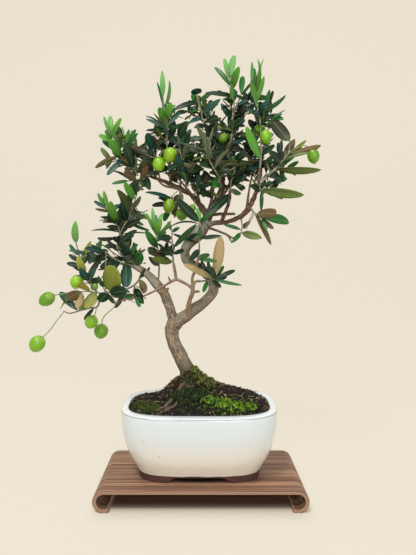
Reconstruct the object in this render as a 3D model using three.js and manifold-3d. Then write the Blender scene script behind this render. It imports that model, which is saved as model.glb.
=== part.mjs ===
// Olive bonsai in a glazed oval pot on a bent-wood stand.
//
// Millimetres, +Z up. The front of the pot looks along -Y and the stand's long side lies along X.
// Every separate piece is one named mesh: the stand, the pot, what lies on the pot's floor, the soil,
// the moss, the wood of the tree, each leafy shoot and each olive.
import * as THREE from "three";
import { mergeVertices } from "three/addons/utils/BufferGeometryUtils.js";
import Module from "manifold-3d";

const wasm = await Module();
wasm.setup();

// ---------------------------------------------------------------- driving dimensions, mm

const GAP = 0.35; // left between any two pieces that touch

const STAND_LENGTH = 264;
const STAND_DEPTH = 106;
const STAND_HEIGHT = 27;
const SHEET = 5; // thickness of the bent plywood
const FOOT_FLAT = 0.35; // sanded off the round underside of each scroll
const SCROLL_TURN = 210; // degrees that the sheet curls from the top round to its lip

const POT_X = -2; // the pot stands a little left of the stand's middle
const RIM_WIDTH = 202;
const RIM_DEPTH = 119;
const RIM_Z = 116;
const PLAN_POWER = 3.4; // roundness of the pot seen from above: 2 is an ellipse, more is squarer
const FLOOR_Z = 44; // top of the pot's floor inside
const FOOT_TOP_Z = STAND_HEIGHT + 9; // where the glaze ends and the bare clay foot starts
const RECESS_Z = FOOT_TOP_Z - 1.5; // underside of the floor, between the feet
const RECESS_INSET = 34; // how far in from the rim the hollow under the floor starts
const RECESS_DRAFT = 2; // how much narrower it is at its top
const LONG_ARCH = { foot: 88, crown: 48 }; // gap between two feet along the long side
const END_ARCH = { foot: 34, crown: 18 };
const ARCH_SPRING = 6; // how soon an arch leaves its crown
const HOLE_RADIUS = 10;
const HOLE_X = 30; // drainage holes, either side of the middle
const CLIP_WIRE = 0.8; // radius of the wire that holds a drain screen

const SOIL_EDGE_Z = 113; // soil level at the rim
const SOIL_PEAK_Z = 148; // soil level at the trunk
const SOIL_PEAK = { x: -14, y: 2 };

const TWIG_BASE = 1.5; // radius of a leafy twig where it leaves its branch
const TWIG_TIP = 0.9;
const STALK = 0.7; // radius of an olive's stalk
const LEAF_THICK = 1.4;

const FINISH = {
  walnut: { color: 0x8f6a52, roughness: 0.5 },
  glaze: { color: 0xe2e4df, roughness: 0.25 },
  plastic: { color: 0x1f2422, roughness: 0.6 },
  wire: { color: 0x9aa0a3, roughness: 0.35, metalness: 1 },
  soil: { color: 0x33271f, roughness: 1 },
  moss: { color: 0x5f7f26, roughness: 1 },
  bark: { color: 0x8a8370, roughness: 0.9 },
  leaf: { color: 0x3c5b4e, roughness: 0.5 },
  olive: { color: 0x86b03a, roughness: 0.35 },
};

// ---------------------------------------------------------------- measured routes, mm

// The bare wood: every limb as points on its middle line, [x, y, z, radius].
const LIMBS = {
  trunk: [
    [-13, 2, 121, 16], [-14, 1, 135, 14], [-16, 0, 147, 12], [-18, 0, 159, 10.5], [-25, -1, 173, 10],
    [-31, -2, 186, 9.5], [-36, -3, 197, 9], [-38, -3, 206, 9.5], [-38, -3, 216, 9.5],
    [-34, -2, 225, 9.5],
  ],
  cut_knot: [
    [-41, -3, 212, 6], [-49, -5, 213, 5], [-54, -6, 214, 4],
  ],
  left_bough: [
    [-34, -2, 222, 8], [-38, -3, 232, 7], [-41, -4, 243, 6.5], [-45, -5, 253, 6.5], [-49, -6, 263, 6.5],
    [-56, -8, 272, 6.5], [-67, -10, 285, 5.5], [-76, -12, 292, 4.5], [-85, -13, 297, 3.5],
    [-93, -12, 299, 2],
  ],
  left_snag: [
    [-47, -9, 264, 3], [-42, -12, 270, 1.5],
  ],
  left_knob: [
    [-50, -9, 264, 4], [-55, -13, 265, 3],
  ],
  right_bough: [
    [-34, -2, 221, 9.5], [-30, -2, 225, 9], [-21, -1, 231, 8.5], [-8, 1, 241, 8], [3, 3, 248, 7.5],
    [11, 5, 256, 7], [17, 7, 264, 7], [17, 8, 272, 7], [14, 9, 280, 7], [6, 10, 290, 7], [-5, 9, 297, 7],
    [-16, 6, 303, 7], [-21, 2, 312, 6.5], [-20, -1, 322, 7], [-13, -3, 332, 8.5], [-4, -5, 341, 9.5],
    [4, -5, 350, 8], [8, -4, 361, 6.5],
  ],
  top_bough: [
    [7, -4, 357, 6], [14, -3, 372, 5.5], [22, -3, 385, 5.5], [27, -3, 398, 5], [28, -2, 413, 4],
    [30, -2, 425, 2.5],
  ],
  upper_left_bough: [
    [8, -3, 361, 5.5], [6, -2, 369, 4.5], [-1, 2, 380, 4], [-12, 6, 393, 3.5], [-24, 10, 401, 3.5],
    [-39, 13, 409, 3], [-56, 14, 416, 2.5], [-70, 14, 421, 2],
  ],
  inner_bough: [
    [27, -10, 356, 3], [33, -13, 371, 2.5], [37, -16, 385, 2.5], [38, -18, 397, 2],
  ],
  right_branch: [
    [6, -5, 353, 4], [19, -10, 355, 3.5], [35, -16, 356, 3], [50, -22, 362, 3.5], [58, -25, 369, 4],
    [63, -27, 377, 3.5], [68, -28, 386, 3], [71, -28, 397, 2.5], [74, -26, 409, 2], [76, -24, 424, 2],
  ],
  level_twig: [
    [15, -4, 367, 2.5], [29, -8, 367, 2], [45, -12, 367, 1.5],
  ],
  dead_twig: [
    [7, -8, 350, 3.5], [15, -13, 347, 2.5], [25, -18, 343, 2.5], [35, -21, 338, 2.5],
    [40, -22, 328, 1.5],
  ],
  dead_fork: [
    [34, -21, 339, 2], [41, -24, 335, 1.5], [47, -26, 337, 1.5],
  ],
  centre_branch: [
    [-17, -5, 233, 4.5], [-16, -10, 246, 3.5], [-14, -12, 255, 3], [-11, -14, 263, 3],
    [-10, -16, 273, 2.5], [-6, -18, 279, 2], [0, -19, 279, 2],
  ],
  long_thin: [
    [-11, -15, 270, 2.5], [-18, -16, 275, 2], [-26, -17, 279, 2], [-33, -18, 281, 2],
    [-46, -20, 274, 1.5], [-55, -21, 269, 1.5], [-74, -23, 260, 1], [-87, -24, 257, 1],
    [-98, -25, 256, 1], [-107, -26, 252, 1],
  ],
  centre_up: [
    [-10, -16, 273, 2.5], [-11, -18, 283, 2], [-7, -20, 294, 2], [-4, -22, 307, 2],
  ],
  cut_stub: [
    [-32, -18, 281, 2], [-33, -19, 290, 2], [-35, -20, 301, 2],
  ],
  side_stub: [
    [-11, -15, 265, 2], [-2, -19, 266, 1.5],
  ],
  small_stub: [
    [-39, -19, 279, 1.5], [-42, -21, 285, 1],
  ],
};

// The leafy shoots. A twig is a list of points on its middle line. A leaf placed by hand is
// [where it leaves the twig, tip x, y, z, width, roll about its own length]; from 1 up, "where" is
// on the second twig. The shoots at the back have leaves in pairs instead, placed by rule.
const SHOOTS = {
  left_low: {
    twigs: [
      [
        [-78, -13, 286], [-83, -18, 277], [-91, -22, 271], [-103, -26, 267], [-115, -29, 265],
        [-127, -31, 265], [-140, -33, 267], [-152, -34, 267],
      ],
    ],
    leaves: [
      [0.06, -69, -41, 266, 10, -170], [0.05, -67, -8, 297, 5, 170], [0.08, -71, -21, 296, 4, -150],
      [0.57, -105, -55, 300, 25, -10], [0.57, -89, -55, 270, 15, 10], [0.59, -123, -55, 257, 13, -10],
      [0.6, -113, -10, 249, 6, 10], [0.84, -148, -56, 278, 8, 170], [0.83, -134, -59, 250, 18, -170],
      [0.97, -148, -60, 249, 10, 170], [1.0, -180, -24, 243, 6, 35], [1.0, -161, -60, 261, 13, 170],
      [0.43, -89, -10, 255, 6, 10], [0.74, -149, -5, 253, 8, -10],
    ],
  },
  left_hanging: {
    twigs: [
      [
        [-127, -31, 264], [-129, -36, 249], [-138, -38, 247], [-150, -40, 244], [-162, -42, 241],
        [-170, -43, 244],
      ],
    ],
    leaves: [
      [0.68, -183, -17, 265, 10, 10], [0.35, -148, -30, 231, 5, -10],
    ],
  },
  left_tip: {
    twigs: [
      [
        [-131, -31, 266], [-138, -30, 274], [-146, -28, 285], [-151, -27, 297], [-154, -26, 309],
        [-158, -25, 323], [-160, -25, 330],
      ],
    ],
    leaves: [
      [1.0, -153, -49, 355, 9, 10], [0.67, -138, -34, 331, 6, 0], [0.39, -149, -54, 312, 10, 10],
      [0.49, -154, -9, 314, 6, -10], [0.26, -146, -55, 298, 10, 10], [0.22, -127, -52, 297, 8, -10],
      [0.31, -130, -19, 309, 8, 0], [0.42, -167, -21, 304, 4, -30], [0.22, -133, -3, 280, 9, 10],
      [0.73, -171, -15, 327, 5, -10], [0.33, -170, -2, 285, 8, -170],
    ],
  },
  left_mid: {
    twigs: [
      [
        [-91, -12, 299], [-105, -12, 304], [-116, -14, 310], [-124, -17, 317], [-133, -20, 313],
        [-141, -22, 310],
      ],
    ],
    leaves: [
      [0.65, -145, -37, 322, 8, 10], [0.67, -146, -12, 327, 4, -30], [0.83, -137, -46, 302, 10, 10],
      [0.6, -138, 9, 305, 8, 170], [1.0, -167, -31, 319, 5, 15], [0.4, -138, 12, 295, 10, -10],
      [0.12, -92, -38, 273, 16, 10], [0.27, -118, -39, 291, 9, -10], [0.2, -98, 12, 286, 8, 10],
      [0.8, -133, -3, 333, 6, -10], [0.97, -160, 4, 302, 8, 10],
    ],
  },
  left_upper: {
    twigs: [
      [
        [-84, -10, 300], [-96, -6, 306], [-109, -2, 316], [-112, 1, 326], [-110, 3, 336], [-108, 5, 344],
        [-103, 7, 354], [-98, 9, 363], [-95, 11, 374], [-91, 12, 385], [-87, 13, 398],
      ],
    ],
    leaves: [
      [0.92, -100, -13, 408, 10, 10], [0.93, -97, 19, 411, 4, -25], [0.95, -89, 6, 412, 4, 25],
      [1.0, -87, 18, 416, 4, -25], [0.79, -109, -15, 398, 11, 10], [0.65, -103, -18, 382, 12, -10],
      [0.57, -84, 16, 373, 5, 10], [0.57, -77, -20, 360, 11, -10], [0.5, -145, -7, 345, 7, 55],
      [0.45, -142, 13, 336, 6, -45], [0.66, -68, -2, 346, 6, 45], [0.36, -82, -21, 345, 9, -10],
      [0.33, -134, 21, 325, 7, 10], [0.23, -90, -27, 326, 8, -10], [0.2, -90, -28, 309, 13, 10],
      [0.1, -91, -32, 323, 8, -10], [0.04, -73, -34, 314, 15, 10], [0.01, -109, -3, 301, 4, -30],
      [0.11, -74, 3, 321, 5, 180], [0.27, -125, -8, 335, 5, -10], [0.16, -129, 23, 303, 9, 10],
    ],
  },
  left_side: {
    twigs: [
      [[-109, 4, 341], [-112, 0, 356], [-118, -4, 366], [-124, -6, 374], [-129, -8, 379]],
    ],
    leaves: [
      [0.22, -106, -17, 373, 7, 10], [0.38, -115, -28, 382, 12, -10], [0.81, -130, 0, 399, 5, 0],
      [0.81, -144, 4, 386, 5, -10], [1.0, -133, -20, 393, 5, 10], [0.48, -135, 1, 364, 4, -30],
      [0.32, -107, 21, 370, 7, 10], [0.16, -121, -21, 350, 7, -10],
    ],
  },
  light_cluster: {
    twigs: [
      [
        [-57, -5, 274], [-55, -9, 291], [-55, -12, 306], [-56, -14, 321], [-58, -15, 331],
        [-58, -16, 342],
      ],
    ],
    leaves: [
      [0.97, -79, -5, 371, 6, 50], [1.0, -70, -25, 367, 5, 0], [1.0, -62, -26, 374, 6, 0],
      [0.97, -59, -8, 366, 5, 0], [0.95, -49, -42, 359, 9, 10], [0.93, -49, -6, 369, 6, -25],
      [0.9, -38, -24, 357, 5, 40], [0.7, -69, -40, 345, 10, -10], [0.65, -36, -37, 314, 8, 10],
      [0.65, -73, 12, 321, 8, -10], [0.44, -44, 6, 324, 7, 10], [0.37, -65, -38, 311, 8, -10],
      [0.82, -47, 4, 345, 7, 10],
    ],
  },
  cut_stub: {
    twigs: [
      [[-35, -20, 301], [-36, -22, 312], [-36, -23, 323], [-37, -24, 335], [-37, -24, 344]],
    ],
    leaves: [
      [0.47, -5, -36, 352, 8, 35], [0.93, -4, -13, 329, 6, -35], [1.0, -26, -41, 347, 5, 10],
      [0.79, -54, -48, 333, 8, -10], [0.61, -52, -10, 334, 5, 10], [0.07, -67, -31, 316, 6, 145],
      [0.07, -60, -47, 309, 10, 10], [1.0, -43, -8, 357, 5, -10], [0.31, -20, -4, 321, 6, 10],
    ],
  },
  centre_up: {
    twigs: [
      [[-4, -22, 307], [-2, -24, 317], [-2, -26, 327], [-1, -27, 342], [-1, -28, 356]],
    ],
    leaves: [
      [0.98, -30, -46, 382, 13, 10], [1.0, 40, -12, 393, 11, 0], [0.93, -45, -15, 346, 8, 60],
      [0.89, -2, -35, 331, 5, -10], [0.56, 27, -35, 337, 6, 0], [0.28, -14, -48, 305, 8, -10],
      [0.03, 12, 4, 314, 8, 10], [0.0, 21, -29, 305, 5, 0], [1.0, -5, -9, 375, 6, 10],
      [0.71, -18, -9, 333, 6, -10], [0.98, 13, -46, 365, 6, 10],
    ],
  },
  whorl: {
    twigs: [
      [[-1, -19, 279], [8, -21, 280], [18, -23, 282]],
    ],
    leaves: [
      [0.96, -22, -36, 302, 8, -165], [0.96, -1, -6, 300, 8, -10], [1.0, 9, -46, 301, 8, 10],
      [1.0, 25, -37, 337, 14, 170], [1.0, 45, -15, 293, 6, 0], [1.0, 52, -34, 275, 6, -35],
      [0.5, 3, -42, 267, 6, 10],
    ],
  },
  centre: {
    twigs: [
      [[-10, 2, 392], [-4, -8, 399], [5, -14, 403], [16, -18, 410], [22, -20, 415]],
    ],
    leaves: [
      [0.29, -2, -29, 413, 7, 10], [0.43, 9, -32, 414, 7, 170], [0.16, -12, 12, 419, 7, -170],
      [0.32, 20, -36, 406, 11, -10], [0.89, 34, 6, 431, 8, 10], [1.0, 19, -46, 427, 9, -10],
      [0.66, 26, -43, 397, 8, 10], [0.52, 3, -40, 385, 8, -10], [0.75, 4, 8, 428, 9, 10],
    ],
  },
  centre_left: {
    twigs: [
      [[-27, 8, 402], [-30, -2, 392], [-35, -8, 386], [-43, -12, 381]],
    ],
    leaves: [
      [0.71, -72, -20, 394, 7, 20], [0.46, -36, -12, 363, 5, 180], [1.0, -67, 11, 380, 8, 10],
      [0.89, -51, -35, 365, 8, -10], [0.58, -19, -31, 371, 8, 10], [0.93, -58, 8, 396, 7, -10],
    ],
  },
  mid_left: {
    twigs: [
      [
        [-20, 8, 401], [-20, -4, 413], [-22, -12, 427], [-26, -16, 443], [-28, -16, 460],
        [-30, -16, 468],
      ],
    ],
    leaves: [
      [0.16, -32, -25, 442, 12, 10], [0.2, 22, 16, 418, 12, -10], [0.94, -17, -42, 479, 12, 10],
      [0.86, 2, -24, 463, 8, -10], [0.75, -7, 10, 461, 10, 10], [0.55, -8, -41, 426, 9, 170],
      [0.52, -41, -40, 419, 9, 10], [0.8, -46, 10, 480, 9, -10], [0.37, -41, 13, 418, 8, -170],
      [0.68, -45, 10, 459, 9, -10], [0.4, -2, 14, 446, 10, 10], [0.71, -13, -42, 464, 9, -10],
    ],
  },
  upper_left: {
    twigs: [
      [
        [-86, 12, 421], [-91, 10, 430], [-97, 8, 438], [-107, 6, 445], [-116, 4, 453], [-119, 2, 463],
        [-119, 0, 472],
      ],
      [[-103, 7, 442], [-102, 4, 453], [-103, 2, 462]],
    ],
    leaves: [
      [1.72, -117, -13, 474, 8, 10], [0.53, -118, -20, 463, 12, -10], [0.98, -123, 9, 502, 7, 0],
      [0.98, -128, -9, 496, 5, -5], [0.98, -105, -8, 494, 5, 0], [0.88, -139, 11, 477, 5, -10],
      [0.88, -127, -4, 479, 4, 25], [0.69, -136, 21, 473, 7, -10], [1.99, -107, 9, 488, 5, 0],
      [1.85, -95, -5, 480, 5, 0], [1.64, -89, 13, 485, 6, 15],
      [1.44, -83, -5, 475, 6, -15], [0.17, -100, -14, 460, 12, 10], [1.11, -125, -4, 419, 8, 0],
      [0.46, -96, 32, 434, 8, 10], [0.56, -140, -6, 428, 7, 125], [0.12, -66, -15, 439, 10, -170],
      [0.36, -86, 32, 458, 8, -10],
    ],
  },
  left_outer: {
    twigs: [
      [[-70, 14, 421], [-79, 12, 418], [-88, 9, 415], [-98, 6, 413]],
    ],
    leaves: [
      [0.91, -121, 15, 428, 5, 30], [0.62, -100, -17, 421, 12, 170], [0.38, -98, 5, 406, 5, 0],
      [1.0, -119, -1, 408, 5, 0], [0.19, -66, -13, 398, 10, 10], [0.79, -89, 34, 402, 8, -10],
      [0.48, -69, -15, 429, 11, -170],
    ],
  },
  blue_pair: {
    twigs: [
      [[-56, 14, 416], [-58, 4, 430], [-60, -4, 442], [-63, -9, 453]],
    ],
    leaves: [
      [1.0, -68, -35, 466, 12, 10], [0.67, -69, 22, 467, 11, -10], [0.78, -100, 6, 463, 9, 180],
      [0.5, -72, -26, 434, 9, -10], [0.33, -68, -22, 416, 9, 10], [0.92, -48, -34, 456, 9, -10],
      [0.22, -45, 33, 437, 8, 10],
    ],
  },
  tall: {
    twigs: [
      [
        [-42, 16, 413], [-43, 8, 431], [-45, 2, 447], [-45, -2, 464], [-45, -4, 479], [-46, -5, 495],
        [-49, -6, 510], [-50, -7, 524],
      ],
    ],
    leaves: [
      [0.99, -50, -17, 553, 7, 0], [0.86, -59, 4, 546, 6, -50], [0.85, -41, -17, 540, 6, 50],
      [0.67, -54, -19, 504, 7, -10], [0.73, -51, 18, 526, 8, 10], [0.7, -37, -27, 507, 8, -10],
      [0.79, -34, 7, 516, 5, 10], [0.63, -27, 2, 505, 7, -10], [0.62, -14, -14, 487, 6, 45],
      [0.61, -72, -13, 491, 5, 0], [0.57, -74, 4, 481, 5, 0], [0.54, -66, 3, 460, 7, 170],
      [0.38, -32, 25, 478, 9, 10], [0.34, -63, 26, 474, 9, -10], [0.23, -27, -22, 446, 9, -170],
    ],
  },
  top_middle: {
    twigs: [
      [
        [23, 0, 419], [18, -2, 437], [12, -4, 455], [8, -4, 474], [3, -4, 492], [-1, -5, 509],
        [-5, -6, 523],
      ],
    ],
    leaves: [
      [0.65, -15, -22, 483, 7, 10], [0.81, -35, -15, 502, 8, 0], [0.73, -17, 6, 505, 5, 10],
      [1.0, -7, 20, 546, 13, -10], [0.48, -11, -28, 459, 8, -170], [0.33, -1, -30, 444, 8, 170],
      [0.82, 16, -13, 526, 7, 0], [0.79, 24, 3, 515, 5, 0], [0.68, 26, -13, 517, 9, 10],
      [0.59, 22, -30, 487, 11, -10], [0.43, 29, 22, 481, 11, 10], [0.54, -9, 22, 491, 9, -10],
      [0.26, 29, -29, 444, 11, 10], [0.37, -3, 22, 478, 9, -10], [0.19, 3, 24, 448, 9, 10],
      [0.63, 11, 22, 516, 9, -10],
    ],
  },
  top_tall: {
    twigs: [
      [
        [30, -2, 424], [36, -4, 446], [40, -6, 465], [42, -8, 483], [42, -9, 497], [44, -10, 514],
        [41, -11, 529], [37, -12, 546],
      ],
      [[42, -9, 497], [48, -6, 512], [54, -3, 526]],
    ],
    leaves: [
      [0.99, 30, -20, 567, 7, 0], [0.99, 46, 8, 584, 9, -10], [0.89, 18, -1, 564, 7, 0],
      [0.86, 48, -37, 549, 10, -10], [0.74, 38, -34, 528, 8, 10], [1.99, 58, 16, 559, 8, -10],
      [1.99, 67, -10, 540, 4, 25], [0.79, 5, -22, 521, 7, -5], [1.9, 97, 9, 526, 8, 45],
      [0.56, 28, 17, 522, 9, -10], [0.35, 28, -17, 440, 8, 180], [0.31, 59, -23, 463, 7, -10],
      [0.45, 56, -34, 483, 11, 10], [0.51, 62, 17, 514, 11, -10], [0.39, 25, 19, 494, 11, 10],
      [0.24, 59, 21, 461, 11, -10], [0.17, 19, -30, 455, 11, 10], [1.35, 59, -33, 507, 9, -10],
      [0.08, 47, -29, 434, 11, -170],
    ],
  },
  right_top: {
    twigs: [
      [
        [76, -24, 424], [78, -20, 445], [78, -16, 463], [78, -12, 479], [77, -9, 496], [74, -6, 513],
        [71, -4, 530], [69, -4, 537],
      ],
    ],
    leaves: [
      [1.0, 67, -14, 566, 6, 25], [0.95, 72, 4, 565, 5, 0], [0.9, 74, -16, 568, 7, 45],
      [0.83, 85, 10, 580, 9, -60], [0.81, 83, -13, 547, 7, 0], [0.74, 65, -16, 541, 8, -10],
      [0.67, 115, 5, 529, 7, 55], [0.64, 85, -34, 507, 9, -10], [0.67, 58, -33, 496, 13, 10],
      [0.57, 96, -2, 510, 4, -30], [0.54, 96, -16, 495, 5, 0], [0.43, 108, -24, 499, 7, -55],
      [0.1, 57, -34, 475, 12, 10], [0.1, 20, -38, 430, 10, -60], [0.22, 67, 8, 458, 10, -170],
      [0.29, 97, 10, 479, 12, -10], [0.43, 66, 14, 499, 12, 10], [0.18, 91, -45, 447, 12, -10],
      [0.02, 59, 3, 419, 10, 10], [0.36, 90, -40, 471, 10, -10],
    ],
  },
  right_upper: {
    twigs: [
      [
        [71, -28, 397], [78, -30, 406], [84, -31, 412], [91, -32, 419], [100, -33, 428], [108, -34, 438],
        [116, -35, 445],
      ],
    ],
    leaves: [
      [0.77, 124, -8, 466, 11, -170], [1.0, 148, -46, 448, 8, 180], [0.52, 131, -18, 454, 8, 40],
      [0.69, 134, -45, 439, 7, -25], [0.51, 147, -50, 417, 11, 45], [0.79, 92, -21, 487, 15, -10],
      [0.92, 135, -26, 460, 5, 40], [0.64, 81, -59, 437, 11, -10], [0.42, 84, -6, 439, 9, -170],
      [0.36, 99, -57, 401, 9, -10],
    ],
  },
  right_side: {
    twigs: [
      [[70, -28, 392], [77, -32, 395], [84, -36, 398], [91, -38, 402]],
    ],
    leaves: [
      [1.0, 124, -59, 385, 11, 10], [0.78, 107, -30, 387, 5, 0], [0.56, 102, -42, 382, 5, 180],
      [0.33, 75, -40, 368, 5, 0], [1.0, 111, -21, 412, 6, 10], [0.22, 59, -57, 396, 10, -10],
    ],
  },
  right_low: {
    twigs: [
      [[63, -28, 374], [67, -32, 367], [74, -34, 361], [80, -36, 358]],
    ],
    leaves: [
      [0.49, 91, -59, 364, 11, -170], [1.0, 116, -10, 356, 11, -10], [0.86, 81, -46, 343, 5, 10],
      [0.36, 91, -18, 326, 8, 155], [0.8, 89, -49, 345, 6, -170],
    ],
  },
  right_under: {
    twigs: [
      [[52, -22, 359], [53, -26, 350], [51, -28, 341]],
    ],
    leaves: [
      [1.0, 76, -41, 334, 8, 10], [0.79, 30, -20, 352, 5, 0], [0.64, 66, -6, 358, 6, -170],
      [1.0, 38, -47, 328, 6, -10],
    ],
  },
  inner_right: {
    twigs: [
      [[38, -18, 396], [39, -20, 407], [43, -22, 420], [46, -24, 432]],
    ],
    leaves: [
      [0.3, 52, -46, 408, 9, 10], [0.57, 29, 5, 428, 10, -10], [0.97, 54, -50, 439, 10, 10],
      [0.9, 37, 3, 450, 10, -10], [0.11, 25, 7, 409, 8, -170], [0.67, 61, 4, 430, 10, 170],
      [0.04, 55, 8, 396, 8, 10], [0.97, 65, 2, 436, 10, -10],
    ],
  },
  back_left: {
    twigs: [[[-76, -11, 293], [-87, 10, 303], [-104, 28, 310], [-123, 40, 308]]],
    pairs: 5,
  },
  back_left_high: {
    twigs: [[[-109, 4, 334], [-106, 20, 347], [-103, 30, 365], [-101, 36, 384]]],
    pairs: 4,
  },
  back_upper_left: {
    twigs: [[[-67, 15, 420], [-73, 32, 433], [-83, 44, 450], [-95, 52, 466]]],
    pairs: 5,
  },
  back_top_left: {
    twigs: [[[-28, 12, 403], [-29, 32, 424], [-34, 44, 450], [-42, 52, 473]]],
    pairs: 5,
  },
  back_top: {
    twigs: [[[28, 0, 408], [30, 26, 435], [26, 40, 463], [22, 50, 492]]],
    pairs: 6,
  },
  back_right: {
    twigs: [[[73, -26, 401], [82, 4, 425], [83, 26, 449], [79, 40, 475]]],
    pairs: 6,
  },
  front_top: {
    twigs: [[[27, -5, 403], [22, -34, 412], [12, -48, 426], [5, -56, 442]]],
    pairs: 5,
  },
};

// The olives: the stalk's route from its twig, the fruit's middle, and its two diameters.
const OLIVES = {
  olive_low_left: {
    stalk: [[-169, -43, 243], [-177, -44, 233], [-184, -45, 223], [-191, -46, 215], [-198, -46, 210]],
    centre: [-201, -46, 204], wide: 19, long: 21,
  },
  olive_far_left: {
    stalk: [[-152, -34, 267], [-166, -36, 266], [-176, -37, 264], [-184, -38, 263]],
    centre: [-192, -38, 258], wide: 17, long: 21,
  },
  olive_behind_left: {
    stalk: [[-147, -28, 288], [-153, -24, 289], [-158, -20, 285]],
    centre: [-160, -20, 278], wide: 17, long: 18,
  },
  olive_small_left: {
    stalk: [[-123, -17, 316], [-123, -19, 301], [-125, -20, 289], [-132, -22, 277]],
    centre: [-137, -22, 272], wide: 10, long: 10,
  },
  olive_pad_middle: {
    stalk: [[-136, -37, 248], [-141, -33, 254], [-148, -30, 255]],
    centre: [-150, -30, 250], wide: 13, long: 15,
  },
  olive_pad_low: {
    stalk: [[-131, -36, 248], [-131, -38, 242], [-133, -40, 236]],
    centre: [-136, -40, 230], wide: 16, long: 17,
  },
  olive_thin_branch: {
    stalk: [[-107, -26, 252], [-113, -26, 244], [-119, -27, 239], [-125, -27, 232], [-126, -27, 224]],
    centre: [-127, -27, 216], wide: 18, long: 19,
  },
  olive_upper_left: {
    stalk: [[-26, -16, 443], [-30, -18, 450], [-36, -17, 449]],
    centre: [-40, -16, 443], wide: 18, long: 20,
  },
  olive_upper_left_low: {
    stalk: [[-45, 0, 453], [-50, -6, 451], [-54, -11, 442]],
    centre: [-55, -12, 432], wide: 17, long: 20,
  },
  olive_hanging: {
    stalk: [[-20, 9, 403], [-31, 6, 399], [-37, 4, 394], [-42, 4, 387]],
    centre: [-43, 4, 379], wide: 16, long: 20,
  },
  olive_behind_leaf: {
    stalk: [[-28, 2, 396], [-25, -2, 388], [-24, -4, 375]],
    centre: [-25, -4, 367], wide: 16, long: 17,
  },
  olive_pale: {
    stalk: [[-8, 4, 388], [-8, -4, 383], [-10, -6, 379]],
    centre: [-11, -6, 375], wide: 9, long: 11,
  },
  olive_right_top: {
    stalk: [[78, -12, 481], [82, -17, 480], [84, -20, 473]],
    centre: [84, -20, 465], wide: 15, long: 19,
  },
  olive_right_behind: {
    stalk: [[77, -9, 492], [80, -5, 493], [79, -2, 486]],
    centre: [78, -2, 478], wide: 16, long: 17,
  },
  olive_far_right: {
    stalk: [[116, -35, 445], [127, -36, 450], [136, -36, 448], [140, -36, 445]],
    centre: [141, -36, 437], wide: 15, long: 19,
  },
  olive_top_middle: {
    stalk: [[41, -6, 469], [36, -9, 472], [32, -12, 471]],
    centre: [29, -12, 466], wide: 12, long: 13,
  },
};

// ---------------------------------------------------------------- solids

const vec = ([x, y, z]) => new THREE.Vector3(x, y, z);

// A closed three.js geometry as a manifold solid.
function solid(geometry) {
  const plain = geometry.index ? geometry.toNonIndexed() : geometry.clone();
  plain.deleteAttribute("normal");
  plain.deleteAttribute("uv");
  const merged = mergeVertices(plain, 1e-4);
  return new wasm.Manifold(
    new wasm.Mesh({
      numProp: 3,
      vertProperties: merged.attributes.position.array,
      triVerts: new Uint32Array(merged.index.array),
    }),
  );
}

const join = (solids) => solids.reduce((whole, next) => whole.add(next));

// The largest of the separate bodies that a cut may leave.
function largestBody(cut) {
  const bodies = cut.decompose();
  return bodies.reduce((best, body) => (body.volume() > best.volume() ? body : best));
}

function geometryOf(body) {
  const mesh = body.getMesh();
  const geometry = new THREE.BufferGeometry();
  geometry.setAttribute("position", new THREE.BufferAttribute(mesh.vertProperties, 3));
  geometry.setIndex(new THREE.BufferAttribute(mesh.triVerts, 1));
  geometry.computeVertexNormals();
  return geometry;
}

// A closed skin through rings of points that all run the same way round, with a flat cap at both
// ends. The rings go from the underside outwards and up, so that the faces look out.
function skin(rings) {
  const count = rings[0].length;
  const points = rings.flat();
  const faces = [];
  for (let ring = 0; ring + 1 < rings.length; ring++) {
    for (let k = 0; k < count; k++) {
      const a = ring * count + k;
      const b = ring * count + ((k + 1) % count);
      faces.push(a, b, b + count, a, b + count, a + count);
    }
  }
  const cap = (start, flip) => {
    const centre = new THREE.Vector3();
    for (let k = 0; k < count; k++) centre.addScaledVector(points[start + k], 1 / count);
    points.push(centre);
    for (let k = 0; k < count; k++) {
      const a = start + k;
      const b = start + ((k + 1) % count);
      faces.push(points.length - 1, flip ? b : a, flip ? a : b);
    }
  };
  cap(0, true);
  cap((rings.length - 1) * count, false);
  return solid(new THREE.BufferGeometry().setFromPoints(points).setIndex(faces));
}

// A capped cylinder bent along a curve, its radius following the list of radii.
function bentRod(curve, radii, sides, steps) {
  const rod = new THREE.CylinderGeometry(1, 1, 1, sides, steps);
  const frames = curve.computeFrenetFrames(steps);
  const place = rod.attributes.position;
  const vertex = new THREE.Vector3();
  for (let i = 0; i < place.count; i++) {
    vertex.fromBufferAttribute(place, i);
    const step = Math.round((vertex.y + 0.5) * steps);
    const along = curve.getUtoTmapping(step / steps) * (radii.length - 1);
    const before = Math.min(Math.floor(along), radii.length - 2);
    const radius = THREE.MathUtils.lerp(radii[before], radii[before + 1], along - before);
    const across = frames.normals[step].clone().multiplyScalar(vertex.z * radius);
    const side = frames.binormals[step].clone().multiplyScalar(vertex.x * radius);
    const centre = curve.getPointAt(step / steps);
    place.setXYZ(i, ...centre.add(across).add(side).toArray());
  }
  return solid(rod);
}

const curveThrough = (points) =>
  new THREE.CatmullRomCurve3(points.map(vec), false, "catmullrom", 0.5);

// ---------------------------------------------------------------- display stand

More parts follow.
